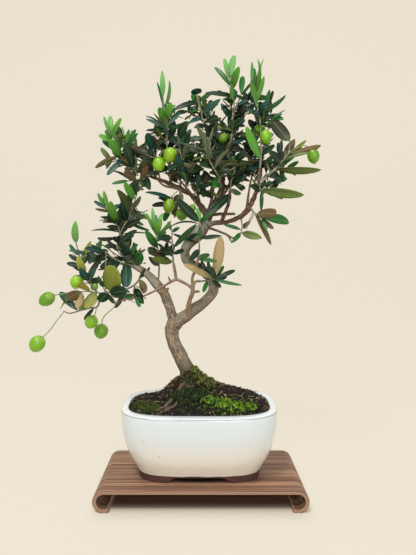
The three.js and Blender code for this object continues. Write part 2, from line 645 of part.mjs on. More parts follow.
// One sheet of plywood: a level top whose ends curl down and under into scrolls.
function displayStand() {
  const outer = STAND_HEIGHT / 2 + FOOT_FLAT / 2;
  const inner = outer - SHEET;
  const centreX = STAND_LENGTH / 2 - outer;
  const centreZ = STAND_HEIGHT - outer;
  const top = Math.PI / 2;
  const lip = top - THREE.MathUtils.degToRad(SCROLL_TURN);
  const profile = new THREE.Shape();
  profile.moveTo(-centreX, STAND_HEIGHT);
  profile.lineTo(centreX, STAND_HEIGHT);
  profile.absarc(centreX, centreZ, outer, top, lip, true);
  profile.absarc(centreX, centreZ, inner, lip, top, false);
  profile.lineTo(-centreX, STAND_HEIGHT - SHEET);
  profile.absarc(-centreX, centreZ, inner, top, Math.PI - lip, false);
  profile.absarc(-centreX, centreZ, outer, Math.PI - lip, top, true);
  const sheet = new THREE.ExtrudeGeometry(profile, {
    depth: STAND_DEPTH,
    bevelEnabled: false,
    curveSegments: 10,
  });
  sheet.rotateX(Math.PI / 2).translate(0, STAND_DEPTH / 2, 0);
  const ground = new THREE.BoxGeometry(2 * STAND_LENGTH, 2 * STAND_DEPTH, STAND_HEIGHT);
  ground.translate(0, 0, -STAND_HEIGHT / 2);
  return solid(sheet).subtract(solid(ground));
}

// ---------------------------------------------------------------- pot and what lies in it

const BELOW_FOOT_Z = STAND_HEIGHT - 1; // where the cuts under the pot start, clear of the foot
const RING_POINTS = 28;
const TURNS = Array.from({ length: RING_POINTS }, (_, k) => (2 * Math.PI * (k + 0.5)) / RING_POINTS);

// A point of the pot's outline at one height. The insets say how far its ends and its long sides
// are drawn in from the rim's outer edge.
function potPoint(turn, endInset, sideInset, z) {
  const halfX = RIM_WIDTH / 2 - endInset;
  const halfY = RIM_DEPTH / 2 - sideInset;
  const round = (value) => Math.sign(value) * Math.abs(value) ** (2 / PLAN_POWER);
  return new THREE.Vector3(
    POT_X + halfX * round(Math.cos(turn)),
    halfY * round(Math.sin(turn)),
    z,
  );
}

const potRing = ([endInset, sideInset, z]) =>
  TURNS.map((turn) => potPoint(turn, endInset, sideInset, z));

// The outside of the wall from the foot up, as [end inset, side inset, height].
const POT_OUTSIDE = [
  [23, 22.5, STAND_HEIGHT],
  [21.5, 21.5, FOOT_TOP_Z - 3],
  [21, 21, FOOT_TOP_Z],
  [20.4, 20.8, FOOT_TOP_Z + 1],
  [18.3, 18.9, 41],
  [15.9, 16.3, 46],
  [12.1, 12.5, 53],
  [8.3, 8.6, 62],
  [4.7, 4.9, 74],
  [1.4, 1.4, 90],
  [0, 0, 105],
  [0, 0, RIM_Z - 1.5],
  [1.5, 1.5, RIM_Z],
];
// The inside of the wall from the rim down.
const POT_INSIDE = [
  [6.5, 10, RIM_Z],
  [7.5, 11.3, RIM_Z - 2],
  [8.6, 12.4, 92],
  [12, 15.5, 74],
  [17, 20, 60],
  [24, 26.5, 49],
  [33, 34, FLOOR_Z],
];

function pot() {
  const body = skin([...POT_OUTSIDE, ...POT_INSIDE].map(potRing));
  const above = RECESS_INSET + RECESS_DRAFT;
  const recess = skin([
    potRing([RECESS_INSET, RECESS_INSET, BELOW_FOOT_Z]),
    potRing([above, above, RECESS_Z]),
  ]);
  return body
    .subtract(recess)
    .subtract(footArch(LONG_ARCH, RIM_DEPTH, 0))
    .subtract(footArch(END_ARCH, RIM_WIDTH, Math.PI / 2))
    .subtract(drainHole(-HOLE_X))
    .subtract(drainHole(HOLE_X));
}

// The low arch between two feet, cut right through under the pot.
function footArch({ foot, crown }, through, turn) {
  const arch = new THREE.Shape();
  arch.moveTo(-foot / 2, BELOW_FOOT_Z);
  arch.lineTo(foot / 2, BELOW_FOOT_Z);
  arch.quadraticCurveTo(crown / 2 + ARCH_SPRING, RECESS_Z, crown / 2, RECESS_Z);
  arch.lineTo(-crown / 2, RECESS_Z);
  arch.quadraticCurveTo(-crown / 2 - ARCH_SPRING, RECESS_Z, -foot / 2, BELOW_FOOT_Z);
  const cutter = new THREE.ExtrudeGeometry(arch, {
    depth: through,
    bevelEnabled: false,
    curveSegments: 4,
  });
  cutter.rotateX(Math.PI / 2).translate(0, through / 2, 0).rotateZ(turn);
  return solid(cutter.translate(POT_X, 0, 0));
}

function drainHole(x) {
  const through = 2 * (FLOOR_Z - RECESS_Z);
  const hole = new THREE.CylinderGeometry(HOLE_RADIUS, HOLE_RADIUS, through, 12);
  return solid(hole.rotateX(Math.PI / 2).translate(POT_X + x, 0, (FLOOR_Z + RECESS_Z) / 2));
}

const SCREEN_SIDE = 30;
const SCREEN_THICK = 1.2;
const SCREEN_Z = FLOOR_Z + GAP + SCREEN_THICK / 2;
const SCREEN_PITCH = 8.8; // between the middles of two of its openings
const SCREEN_OPENING = 6;
const CLIP_LEG = 6; // length of the bent end of a clip's leg

// A square of plastic mesh that keeps the soil from falling through a drainage hole.
function drainScreen(x) {
  const sheet = new THREE.BoxGeometry(SCREEN_SIDE, SCREEN_SIDE, SCREEN_THICK);
  let screen = solid(sheet);
  for (const row of [-1, 0, 1]) {
    for (const column of [-1, 0, 1]) {
      const opening = new THREE.BoxGeometry(SCREEN_OPENING, SCREEN_OPENING, 2 * SCREEN_THICK);
      opening.translate(column * SCREEN_PITCH, row * SCREEN_PITCH, 0);
      screen = screen.subtract(solid(opening));
    }
  }
  return screen.translate([POT_X + x, 0, SCREEN_Z]);
}

// The wire staple that holds a screen down: a flat bridge with a leg through the mesh on each side,
// bent outwards under the floor of the pot.
function screenClip(x) {
  const overMesh = SCREEN_Z + SCREEN_THICK / 2 + GAP + CLIP_WIRE;
  const underFloor = RECESS_Z - GAP - CLIP_WIRE;
  const route = [
    [-SCREEN_PITCH - CLIP_LEG, 0, underFloor],
    [-SCREEN_PITCH, 0, underFloor],
    [-SCREEN_PITCH, 0, overMesh],
    [SCREEN_PITCH, 0, overMesh],
    [SCREEN_PITCH, 0, underFloor],
    [SCREEN_PITCH + CLIP_LEG, 0, underFloor],
  ].map(vec);
  const lengths = route.slice(1).map((end, k) => {
    const ahead = end.clone().sub(route[k]).setLength(CLIP_WIRE);
    const line = new THREE.LineCurve3(route[k].clone().sub(ahead), end.clone().add(ahead));
    return bentRod(line, [CLIP_WIRE, CLIP_WIRE], 4, 1);
  });
  return join(lengths).translate([POT_X + x, 0, 0]);
}

// ---------------------------------------------------------------- soil and moss

const [SOIL_END_INSET, SOIL_SIDE_INSET] = POT_INSIDE[1].map((inset) => inset + GAP);
const SOIL_SHARES = [1, 0.94, 0.84, 0.7, 0.56, 0.43, 0.3, 0.15]; // its rings, from wall to peak

// How high the mound stands at a share of the way from its peak to the wall. It falls off steeply
// beside the trunk on the left, and evenly on the right.
function soilLevel(turn, share) {
  const left = 1 / (1 + (share / 0.45) ** 4);
  const right = 1 - 0.78 * share - 0.22 * share ** 9;
  const height = THREE.MathUtils.lerp(left, right, (1 + Math.cos(turn)) / 2);
  return THREE.MathUtils.lerp(SOIL_EDGE_Z, SOIL_PEAK_Z, height);
}

// A point on the soil: the turn picks a point on the pot's wall, the share how far out towards it.
function soilPoint(turn, share) {
  const wall = potPoint(turn, SOIL_END_INSET, SOIL_SIDE_INSET, 0);
  return new THREE.Vector3(
    THREE.MathUtils.lerp(SOIL_PEAK.x, wall.x, share),
    THREE.MathUtils.lerp(SOIL_PEAK.y, wall.y, share),
    soilLevel(turn, share),
  );
}

function soil(wood) {
  const inside = POT_INSIDE.filter(([, , z]) => z < SOIL_EDGE_Z).reverse();
  const buried = inside.map((row) => potRing(row.map((value) => value + GAP)));
  const surface = SOIL_SHARES.map((share) => TURNS.map((turn) => soilPoint(turn, share)));
  const pocketTop = SCREEN_Z + SCREEN_THICK / 2 + 2 * CLIP_WIRE + 2 * GAP;
  const side = SCREEN_SIDE + 2 * GAP;
  const pockets = [-HOLE_X, HOLE_X].map((x) => {
    const pocket = new THREE.BoxGeometry(side, side, 2 * (pocketTop - FLOOR_Z));
    return solid(pocket.translate(POT_X + x, 0, FLOOR_Z));
  });
  return largestBody(skin([...buried, ...surface]).subtract(join([...pockets, wood])));
}

// Moss cushions as [turn, share of the way to the wall, radius].
const MOSS_ON_SOIL = {
  moss_right: [[-78, 0.6, 9], [-71, 0.7, 11], [-65, 0.79, 10], [-58, 0.86, 8], [-47, 0.89, 7]],
  moss_left: [[-168, 0.84, 9], [-152, 0.79, 10], [-140, 0.78, 11], [-126, 0.81, 9]],
  moss_front: [[-108, 0.44, 11], [-97, 0.41, 11], [-90, 0.47, 10], [-84, 0.42, 10], [-96, 0.56, 9]],
};
// The cushions that climb the trunk's right side, as [x, y, z, radius].
const MOSS_ON_TRUNK = [[-8, -9, 161, 5], [-3, -9, 154, 7], [3, -9, 148, 8], [11, -11, 143, 8]];
const MOSS_FLATNESS = 0.45;

function cushion(centre, radius, height) {
  const ball = new THREE.SphereGeometry(radius, 7, 4);
  ball.rotateX(Math.PI / 2).scale(1, 1, height / radius);
  return solid(ball.translate(...centre.toArray()));
}

function mossOnSoil(cushions, below) {
  const lumps = cushions.map(([degrees, share, radius]) => {
    const centre = soilPoint(THREE.MathUtils.degToRad(degrees), share);
    return cushion(centre, radius, MOSS_FLATNESS * radius);
  });
  return largestBody(join(lumps).subtract(below));
}

function mossOnTrunk(below) {
  const lumps = MOSS_ON_TRUNK.map(([x, y, z, radius]) => {
    return cushion(new THREE.Vector3(x, y, z), radius, radius);
  });
  return largestBody(join(lumps).subtract(below));
}

// ---------------------------------------------------------------- wood, shoots and olives

// All the bare wood, each limb a tapered rod through its points; grown, it cuts a clearance.
function wood(grow) {
  const limbs = Object.values(LIMBS).map((limb) => {
    const radii = limb.map(([, , , radius]) => radius + grow);
    const thickest = Math.max(...radii);
    const sides = thickest > 6 ? 8 : 5;
    const steps = Math.ceil(1.1 * (limb.length - 1));
    return bentRod(curveThrough(limb), radii, sides, steps);
  });
  return join(limbs);
}

const TWIG_SIDES = 3;
const twigSteps = (points) => Math.ceil(0.7 * points.length);

function twigRod(points, grow) {
  const radii = [TWIG_BASE + grow, TWIG_TIP + grow];
  return bentRod(curveThrough(points), radii, TWIG_SIDES, twigSteps(points));
}

const LAST_LEAF = 0.97; // where the leaf at a twig's tip joins it

// The point on a twig's axis at a share of its length.
function onTwig(points, share) {
  const curve = curveThrough(points);
  const steps = twigSteps(points);
  const along = Math.min(share, LAST_LEAF) * steps;
  const step = Math.floor(along);
  const before = curve.getPointAt(step / steps);
  return before.lerp(curve.getPointAt((step + 1) / steps), along - step);
}

// A number from 0 to 1 that looks random and stays the same for the same pair.
function vary(a, b) {
  const wave = Math.sin(a * 12.9898 + b * 78.233) * 43758.5453;
  return wave - Math.floor(wave);
}

const FRONT = new THREE.Vector3(0, -1, 0.2).normalize();
const UP = new THREE.Vector3(0, 0, 1);
const BEHIND = new THREE.Vector3(0, 1, 0); // the long axis of an olive before it is turned

const LEAF_WIDEST = 0.45; // share of a leaf's length

// A leaf's solid: flat below, with a low ridge along the middle of its upper side.
function leafSolid({ base, tip, width, roll, facing }, grow = 0) {
  const along = tip.clone().sub(base);
  const length = along.length() + grow;
  along.normalize();
  const face = facing.clone().addScaledVector(along, -facing.dot(along)).normalize();
  face.applyAxisAngle(along, THREE.MathUtils.degToRad(roll));
  const across = new THREE.Vector3().crossVectors(face, along);
  const at = (forward, side, rise) =>
    base
      .clone()
      .addScaledVector(along, forward * length)
      .addScaledVector(across, side * (width / 2 + grow))
      .addScaledVector(face, rise);
  const points = [
    at(0, 0, 0),
    at(1, 0, 0),
    at(LEAF_WIDEST, 1, -grow),
    at(LEAF_WIDEST, -1, -grow),
    at(LEAF_WIDEST, 0, LEAF_THICK + grow),
  ];
  const faces = [0, 3, 4, 3, 1, 4, 1, 2, 4, 2, 0, 4, 0, 2, 3, 2, 1, 3];
  return solid(new THREE.BufferGeometry().setFromPoints(points).setIndex(faces));
}

// Leaves placed by hand, as [where along the twig, tip x, y, z, width, roll].
function placedLeaves(twigs, rows) {
  return rows.map(([where, x, y, z, width, roll]) => {
    const twig = Math.min(Math.floor(where), twigs.length - 1);
    const base = onTwig(twigs[twig], where - twig);
    return { base, tip: new THREE.Vector3(x, y, z), width, roll, facing: FRONT };
  });
}

// The leaves that grow in pairs: each number is drawn between the two that are given.
const between = ([low, high], a, b) => low + (high - low) * vary(a, b);
const PAIR = {
  first: 0.22, // where along the twig the lowest pair sits
  last: 0.98,
  length: [26, 40],
  width: [7, 9],
  lean: [0.7, 1.2], // radians away from the twig
  rise: 0.15, // how much a leaf turns up towards the light
};

// Opposite pairs up a twig, each pair a quarter turn from the last, and one leaf at the end.
function pairedLeaves(twig, pairs) {
  const leaves = [];
  const curve = curveThrough(twig);
  const seed = twig[1][0];
  const grow = (base, direction, k) => {
    const tip = base.clone().addScaledVector(direction, between(PAIR.length, seed, k));
    leaves.push({ base, tip, width: between(PAIR.width, seed, k + 50), roll: 0, facing: UP });
  };
  for (let pair = 0; pair < pairs; pair++) {
    const where = THREE.MathUtils.lerp(PAIR.first, PAIR.last, pair / (pairs - 1));
    const base = onTwig(twig, where);
    const ahead = curve.getTangentAt(where);
    const sideways = new THREE.Vector3().crossVectors(ahead, UP).normalize();
    sideways.applyAxisAngle(ahead, (pair * Math.PI) / 2 + vary(seed, pair));
    for (const side of [-1, 1]) {
      const lean = between(PAIR.lean, seed, 2 * pair + side);
      const direction = ahead.clone().multiplyScalar(Math.cos(lean));
      direction.addScaledVector(sideways, side * Math.sin(lean)).addScaledVector(UP, PAIR.rise);
      grow(base, direction.normalize(), 2 * pair + side);
    }
  }
  grow(onTwig(twig, 1), curve.getTangentAt(1), 99);
  return leaves;
}

function oliveSolid({ stalk, centre, wide, long }) {
  const middle = vec(centre);
  const axis = middle.clone().sub(vec(stalk.at(-1))).normalize();
  const fruit = new THREE.SphereGeometry(1, 7, 5);
  fruit.scale(wide / 2, long / 2, wide / 2);
  fruit.applyQuaternion(new THREE.Quaternion().setFromUnitVectors(BEHIND, axis));
  fruit.translate(...centre);
  const route = curveThrough([...stalk, centre]);
  return solid(fruit).add(bentRod(route, [STALK, STALK], 3, stalk.length));
}

// ---------------------------------------------------------------- the whole plant

const pieces = new Map();

function keep(name, body, finish) {
  pieces.set(name, { body, box: body.boundingBox(), finish });
}

const boxesMeet = (one, other) =>
  [0, 1, 2].every((k) => one.min[k] < other.max[k] && other.min[k] < one.max[k]);

// Whether a body that belongs to one piece touches no other piece.
function isClear(body, owner) {
  const box = body.boundingBox();
  return [...pieces].every(([name, other]) => {
    if (name === owner || !boxesMeet(box, other.box)) return true;
    return other.body.intersect(body).isEmpty();
  });
}

keep("display_stand", displayStand(), FINISH.walnut);
keep("pot", pot(), FINISH.glaze);
for (const [side, x] of [["left", -HOLE_X], ["right", HOLE_X]]) {
  keep(`drain_screen_${side}`, drainScreen(x), FINISH.plastic);
  keep(`screen_clip_${side}`, screenClip(x), FINISH.wire);
}

const woodClearance = wood(GAP);
keep("trunk", wood(0), FINISH.bark);
const mound = soil(woodClearance);
keep("soil", mound, FINISH.soil);
const underMoss = join([mound.translate([0, 0, GAP]), woodClearance]);
for (const [name, cushions] of Object.entries(MOSS_ON_SOIL)) {
  keep(name, mossOnSoil(cushions, underMoss), FINISH.moss);
}
keep("moss_trunk", mossOnTrunk(underMoss), FINISH.moss);

// Twigs come before olives, and olives before leaves, because only a leaf gives way. A twig that
// springs from an earlier one stops short of its bark.
let clearance = woodClearance;
const shoots = Object.entries(SHOOTS).map(([key, shoot]) => {
  const twigs = join(shoot.twigs.map((points) => twigRod(points, 0))).subtract(clearance);
  clearance = join([clearance, ...shoot.twigs.map((points) => twigRod(points, GAP))]);
  return { ...shoot, name: `shoot_${key}`, wood: largestBody(twigs) };
});
for (const shoot of shoots) keep(shoot.name, shoot.wood, FINISH.leaf);

for (const [name, olive] of Object.entries(OLIVES)) {
  keep(name, largestBody(oliveSolid(olive).subtract(clearance)), FINISH.olive);
}

for (const shoot of shoots) {
  const wanted = shoot.pairs
    ? pairedLeaves(shoot.twigs[0], shoot.pairs)
    : placedLeaves(shoot.twigs, shoot.leaves);
  const clear = wanted.filter((leaf) => isClear(leafSolid(leaf, GAP), shoot.name));
  const leaves = clear.map((leaf) => leafSolid(leaf));
  keep(shoot.name, largestBody(join([shoot.wood, ...leaves])), FINISH.leaf);
}

const bonsai = new THREE.Group();
for (const [name, { body, finish }] of pieces) {
  const mesh = new THREE.Mesh(geometryOf(body), new THREE.MeshStandardMaterial(finish));
  mesh.name = name;
  bonsai.add(mesh);
}

// The origin is the middle of the bounding box, on the surface that the stand rests on.
const box = new THREE.Box3().setFromObject(bonsai);
bonsai.position.set(-(box.min.x + box.max.x) / 2, -(box.min.y + box.max.y) / 2, 0);
const part = new THREE.Group();
part.add(bonsai);
export default part;
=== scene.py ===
# %% [markdown]
# # An olive bonsai in a glazed pot
#
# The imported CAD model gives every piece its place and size. This lesson gives each piece its real
# surface: a bent plywood stand, a thrown and glazed pot, soil, moss, bark, leaves and fruit.
# A piece is modelled at its place, finished with a procedural material, and then stands in for the
# CAD node that it replaces. What grew, such as leaves and moss, is one modelled shape copied many
# times, each copy turned, sized and tinted on its own.

# %% The tools and the fixed frame
import math
import random

import bpy
import numpy as np
from mathutils import Matrix, Quaternion, Vector
from mathutils import noise as lumps
from mathutils.bvhtree import BVHTree
from mathutils.kdtree import KDTree


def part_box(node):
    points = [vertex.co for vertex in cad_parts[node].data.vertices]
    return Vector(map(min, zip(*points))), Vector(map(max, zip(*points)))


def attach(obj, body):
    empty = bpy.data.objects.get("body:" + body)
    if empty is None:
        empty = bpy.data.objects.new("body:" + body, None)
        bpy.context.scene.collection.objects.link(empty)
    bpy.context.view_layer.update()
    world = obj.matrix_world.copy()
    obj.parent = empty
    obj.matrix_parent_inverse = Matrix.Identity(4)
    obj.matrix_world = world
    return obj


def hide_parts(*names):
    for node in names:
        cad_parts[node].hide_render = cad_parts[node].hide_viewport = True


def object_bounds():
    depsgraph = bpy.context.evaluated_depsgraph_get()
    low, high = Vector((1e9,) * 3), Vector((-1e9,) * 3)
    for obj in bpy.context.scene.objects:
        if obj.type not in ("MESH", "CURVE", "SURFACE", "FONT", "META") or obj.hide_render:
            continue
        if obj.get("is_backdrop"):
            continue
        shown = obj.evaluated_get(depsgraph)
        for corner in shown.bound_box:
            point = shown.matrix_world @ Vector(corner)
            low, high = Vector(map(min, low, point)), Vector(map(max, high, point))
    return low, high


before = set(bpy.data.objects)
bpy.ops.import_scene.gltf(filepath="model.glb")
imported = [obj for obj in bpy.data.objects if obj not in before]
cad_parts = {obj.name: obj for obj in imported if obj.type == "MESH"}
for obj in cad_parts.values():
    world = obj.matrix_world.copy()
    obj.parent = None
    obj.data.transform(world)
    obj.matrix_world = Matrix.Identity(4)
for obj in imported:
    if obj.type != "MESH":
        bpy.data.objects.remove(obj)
cad_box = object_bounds()
bpy.ops.object.select_all(action="DESELECT")
print("CAD nodes:", len(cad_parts))

# %% [markdown]
# ## Where things are
#
# Lengths are in millimetres, measured from the middle of the stand where it touches the table, as
# a maker would measure them. One function turns such a place into the frame's metres.

# %% Places in millimetres
MM = 0.001
STAND_LOW, STAND_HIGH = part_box("display_stand")
STAND_MIDDLE = Vector((STAND_LOW[0] + STAND_HIGH[0], STAND_LOW[1] + STAND_HIGH[1], 0)) / 2


def spot(x, y, z):
    return STAND_MIDDLE + Vector((x, y, z)) * MM


print("Middle of the stand:", [round(value, 4) for value in STAND_MIDDLE])

# %% [markdown]
# ## The camera
#
# The camera stands level, 56 cm in front of the stand's middle and half way up the tree. A level
# camera keeps the trunk and pot upright in the picture, and a small shift of the lens frames them.

# %% Camera
CAMERA_DISTANCE = 562
CAMERA_HEIGHT = 316
LENS_MM = 27.24
LENS_SHIFT = (0.013, -0.0447)
NEAREST_SEEN = 0.01  # metres

EYE = Vector((0, -CAMERA_DISTANCE, CAMERA_HEIGHT))
bpy.ops.object.camera_add(location=spot(*EYE), rotation=(math.pi / 2, 0, 0))
camera = bpy.context.object
camera.data.lens = LENS_MM
camera.data.shift_x, camera.data.shift_y = LENS_SHIFT
camera.data.clip_start = NEAREST_SEEN
bpy.context.scene.camera = camera
print("Camera at", [round(value, 3) for value in camera.location])

# %% [markdown]
# ## The light
#
# A pale room gives soft light from all round, and two softboxes stand in front: the key light high
# on the left, and a wider one lower on the right. They make the rim of the pot the brightest part.
# Wherever the camera sees past the backdrop, it sees the colour of the same paper.

# %% Light
ROOM_COLOUR = (0.93, 0.97, 1.0)
ROOM_STRENGTH = 0.36
PAPER = (0.838, 0.768, 0.638)
SOFTBOX_COLOUR = (1.0, 0.985, 0.96)
LIT_PLACE = (0, 0, 200)
# Place in millimetres, size in metres and power in watts.
KEY_LIGHT = ((-450, -800, 1700), 0.45, 18)
FRONT_LIGHT = ((420, -1600, 750), 0.8, 13.5)

world = bpy.data.worlds.new("room")
world.use_nodes = True
nodes, links = world.node_tree.nodes, world.node_tree.links
room, paper_all_round = nodes["Background"], nodes.new("ShaderNodeBackground")
room.inputs["Color"].default_value = (*ROOM_COLOUR, 1)
room.inputs["Strength"].default_value = ROOM_STRENGTH
paper_all_round.inputs["Color"].default_value = (*PAPER, 1)
seen, either = nodes.new("ShaderNodeLightPath"), nodes.new("ShaderNodeMixShader")
links.new(seen.outputs["Is Camera Ray"], either.inputs[0])
links.new(room.outputs[0], either.inputs[1])
links.new(paper_all_round.outputs[0], either.inputs[2])
links.new(either.outputs[0], nodes["World Output"].inputs["Surface"])
bpy.context.scene.world = world
bpy.context.scene.view_settings.view_transform = "Standard"


def softbox(name, place, size, watts):
    towards = spot(*LIT_PLACE) - spot(*place)
    bpy.ops.object.light_add(type="AREA", location=spot(*place))
    light = bpy.context.object
    light.name = name
    light.rotation_euler = towards.to_track_quat("-Z", "Y").to_euler()
    light.data.size = size
    light.data.energy = watts
    light.data.color = SOFTBOX_COLOUR
    return light


key = softbox("key_softbox", *KEY_LIGHT)
front = softbox("front_softbox", *FRONT_LIGHT)
print("Softboxes:", key.data.energy, "and", front.data.energy, "W")

# %% [markdown]
# ## Writing materials as sums
#
# A shader is a web of nodes, but most of it is plain arithmetic. `Flow` wraps the output of a node,
# and adding or multiplying two of them adds the Math node that does it. `Finish` is one material:
# its `node` method adds any other node, with its settings and the values or links of its inputs.
# The methods after it are the few kinds of node that most finishes use.

# %% Flow and Finish


def srgb(red, green, blue):
    """A colour as seen on a screen, 0 to 255 each, as the linear colour that a shader works in."""
    def channel(value):
        value /= 255
        return value / 12.92 if value <= 0.04045 else ((value + 0.055) / 1.055) ** 2.4
    return (channel(red), channel(green), channel(blue))


class Flow:
    """What comes out of a node's socket."""

    def __init__(self, finish, socket):
        self.finish = finish
        self.socket = socket

    def maths(self, operation, *values):
        return self.finish.node("ShaderNodeMath", {"operation": operation}, dict(enumerate(values)))

    def __abs__(self):
        return self.maths("ABSOLUTE", self)

    def over(self, low, high):
        """0 at low and 1 at high, with a soft start and end."""
        ends = {"Value": self, "From Min": low, "From Max": high}
        return self.finish.node("ShaderNodeMapRange", {"interpolation_type": "SMOOTHSTEP"}, ends)


def arithmetic(operation):
    """The methods for `flow + other` and `other + flow`, or for another operation."""
    return (
        lambda flow, other: flow.maths(operation, flow, other),
        lambda flow, other: flow.maths(operation, other, flow),
    )


Flow.__add__, Flow.__radd__ = arithmetic("ADD")
Flow.__sub__, Flow.__rsub__ = arithmetic("SUBTRACT")
Flow.__mul__, Flow.__rmul__ = arithmetic("MULTIPLY")
Flow.__pow__, _ = arithmetic("POWER")


class Finish:
    """One material and its nodes."""

    def __init__(self, name):
        self.material = bpy.data.materials.new(name)
        self.material.use_nodes = True
        self.tree = self.material.node_tree
        self.shader = self.tree.nodes["Principled BSDF"]
        self.here = self.node("ShaderNodeTexCoord", output="Object")

    def feed(self, socket, value):
        if isinstance(value, Flow):
            self.tree.links.new(value.socket, socket)
        elif socket.type == "RGBA":
            socket.default_value = (*value, 1)
        else:
            socket.default_value = value

    def node(self, kind, settings=None, inputs=None, output=0):
        made = self.tree.nodes.new(kind)
        for name, value in (settings or {}).items():
            setattr(made, name, value)
        for name, value in (inputs or {}).items():
            self.feed(made.inputs[name], value)
        return Flow(self, made.outputs[output])

    def stored(self, name, output="Color"):
        """What the mesh keeps for each point under this name."""
        return self.node("ShaderNodeAttribute", {"attribute_name": name}, output=output)

    def facing(self):
        """How far the surface faces along x, y and z, from -1 to 1 each."""
        return self.split(self.node("ShaderNodeNewGeometry", output="Normal"))

    def mapped(self, scale=(1, 1, 1), location=(0, 0, 0)):
        places = {"Vector": self.here, "Scale": scale, "Location": location}
        return self.node("ShaderNodeMapping", {}, places)

    def noise(self, scale, detail=3, stretch=(1, 1, 1), roughness=0.5):
        """Cloudy noise from 0 to 1; scale is in lumps per metre, more along a stretched axis."""
        sizes = {"Vector": self.mapped(stretch), "Scale": scale, "Detail": detail}
        return self.node("ShaderNodeTexNoise", {}, sizes | {"Roughness": roughness})

    def blend(self, share, first, second):
        sockets = {0: share, 6: first, 7: second}
        return self.node("ShaderNodeMix", {"data_type": "RGBA"}, sockets, output=2)

    def washed(self, colour, *washes):
        """The colour under washes of others, each a (share, colour from 0 to 255)."""
        for share, wash in washes:
            colour = self.blend(share, colour, srgb(*wash))
        return colour

    def ramp(self, share, *stops):
        """A colour that changes with the share; a stop is a (share, colour from 0 to 255)."""
        made = self.node("ShaderNodeValToRGB", {}, {0: share})
        elements = made.socket.node.color_ramp.elements
        for place, _ in stops[len(elements):]:
            elements.new(place)
        for element, (place, colour) in zip(elements, stops):
            element.position = place
            element.color = (*srgb(*colour), 1)
        return made

    def shade(self, colour, amount):
        """The colour made lighter or darker, by a factor."""
        return self.node("ShaderNodeVectorMath", {"operation": "SCALE"}, {0: colour, "Scale": amount})

    def split(self, vector):
        return [self.node("ShaderNodeSeparateXYZ", {}, {0: vector}, output=k) for k in range(3)]

    def relief(self, height, depth_mm, strength=1):
        heights = {"Height": height, "Distance": depth_mm * MM, "Strength": strength}
        return self.node("ShaderNodeBump", {}, heights)

    def paint(self, **sockets):
        """Sets sockets of the shader: base_color is its Base Color."""
        for name, value in sockets.items():
            spoken = name.replace("_", " ")
            socket = next(socket for socket in self.shader.inputs if socket.name.lower() == spoken)
            self.feed(socket, value)
        return self.material


print("Finishes are ready to mix")

# %% [markdown]
# ## Small modelling helpers
#
# `modelled` runs a primitive operator and names what it adds, `edited` and `edit_done` open and
# close its mesh, `finished` applies a modifier, `kept` stores a value for each point, and `settled`
# says which CAD node a piece stands for.

# %% Modelling helpers


def deselected():
    bpy.ops.object.select_all(action="DESELECT")


def modelled(name, add, **settings):
    """Adds a primitive and makes its place, turn and size part of its mesh."""
    deselected()
    add(**settings)
    piece = bpy.context.object
    piece.name = name
    piece.data.name = name
    bpy.ops.object.transform_apply(location=True, rotation=True, scale=True)
    return piece


def chosen(piece):
    deselected()
    piece.select_set(True)
    bpy.context.view_layer.objects.active = piece
    return piece


def edited():
    """Opens the active mesh for editing, with all of it selected."""
    bpy.ops.object.mode_set(mode="EDIT")
    bpy.ops.mesh.select_all(action="SELECT")


def edit_done():
    bpy.ops.object.mode_set(mode="OBJECT")


def facing_out():
    """Turns all faces of the mesh that is being edited outwards, and closes it."""
    bpy.ops.mesh.select_all(action="SELECT")
    bpy.ops.mesh.normals_make_consistent(inside=False)
    edit_done()


def finished(piece, kind, **settings):
    """Adds a modifier with these settings and applies it."""
    chosen(piece)
    modifier = piece.modifiers.new(kind.lower(), kind)
    for name, value in settings.items():
        setattr(modifier, name, value)
    bpy.ops.object.modifier_apply(modifier=modifier.name)
    return piece


def joined(name, pieces):
    deselected()
    for piece in pieces:
        piece.select_set(True)
    bpy.context.view_layer.objects.active = pieces[0]
    if len(pieces) > 1:
        bpy.ops.object.join()
    pieces[0].name = name
    pieces[0].data.name = name
    return pieces[0]


def smoothed(piece, degrees=35):
    chosen(piece)
    bpy.ops.object.shade_smooth_by_angle(angle=math.radians(degrees))
    return piece


def kept(mesh, name, kind, field, values):
    """Stores a value for each point of a mesh, for the materials to read."""
    values = np.asarray(values, dtype=np.float32)
    mesh.attributes.new(name, kind, "POINT").data.foreach_set(field, values.ravel())


def settled(piece, node):
    """Lets a piece stand for a CAD node."""
    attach(piece, "root")
    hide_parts(node)
    triangles = sum(len(face.vertices) - 2 for face in piece.data.polygons)
    print(f"{piece.name}: {triangles} triangles, stands for {node}")


def displaced(piece, name, size_mm, strength_mm, **settings):
    """Pushes a surface in and out by a cloudy pattern."""
    clouds = bpy.data.textures.new(name, "CLOUDS")
    clouds.noise_scale = size_mm * MM
    return finished(
        piece, "DISPLACE", texture=clouds, strength=strength_mm * MM, texture_coords="LOCAL", **settings
    )


def through(points, steps):
    """A smooth curve through points of any number of values: `steps` short pieces between two."""
    points = [Vector(point) for point in points]
    ends = [2 * points[0] - points[1]] + points + [2 * points[-1] - points[-2]]
    curve = []
    for a, b, c, d in zip(ends, ends[1:], ends[2:], ends[3:]):
        for k in range(steps):
            t = k / steps
            bend = (c - a) * t + (2 * a - 5 * b + 4 * c - d) * t**2 + (3 * b - 3 * c + d - a) * t**3
            curve.append(b + bend / 2)
    return curve + [points[-1]]


print("Modelling helpers are ready")

# %% [markdown]
# ## The floor and backdrop
#
# The plant stands on a plain pale sweep: a floor that curves up into a wall far behind, so that no
# line crosses the picture. Away from the stand it glows a little, as paper does when light also
# comes through it, and that keeps shadows away. Near the stand it only takes the light that falls
# on it, and under the stand a shadow is painted into its colour.

# %% Stage
SWEEP_SIZE = 14
SWEEP_BACK = 1.3
SWEEP_RADIUS = 1.2
# The colour of the shadow that is painted on the floor under the stand.
PAINTED_SHADOW = srgb(102, 77, 60)
GLOW_SHARE, GLOW_STRENGTH = 0.9, 1.03
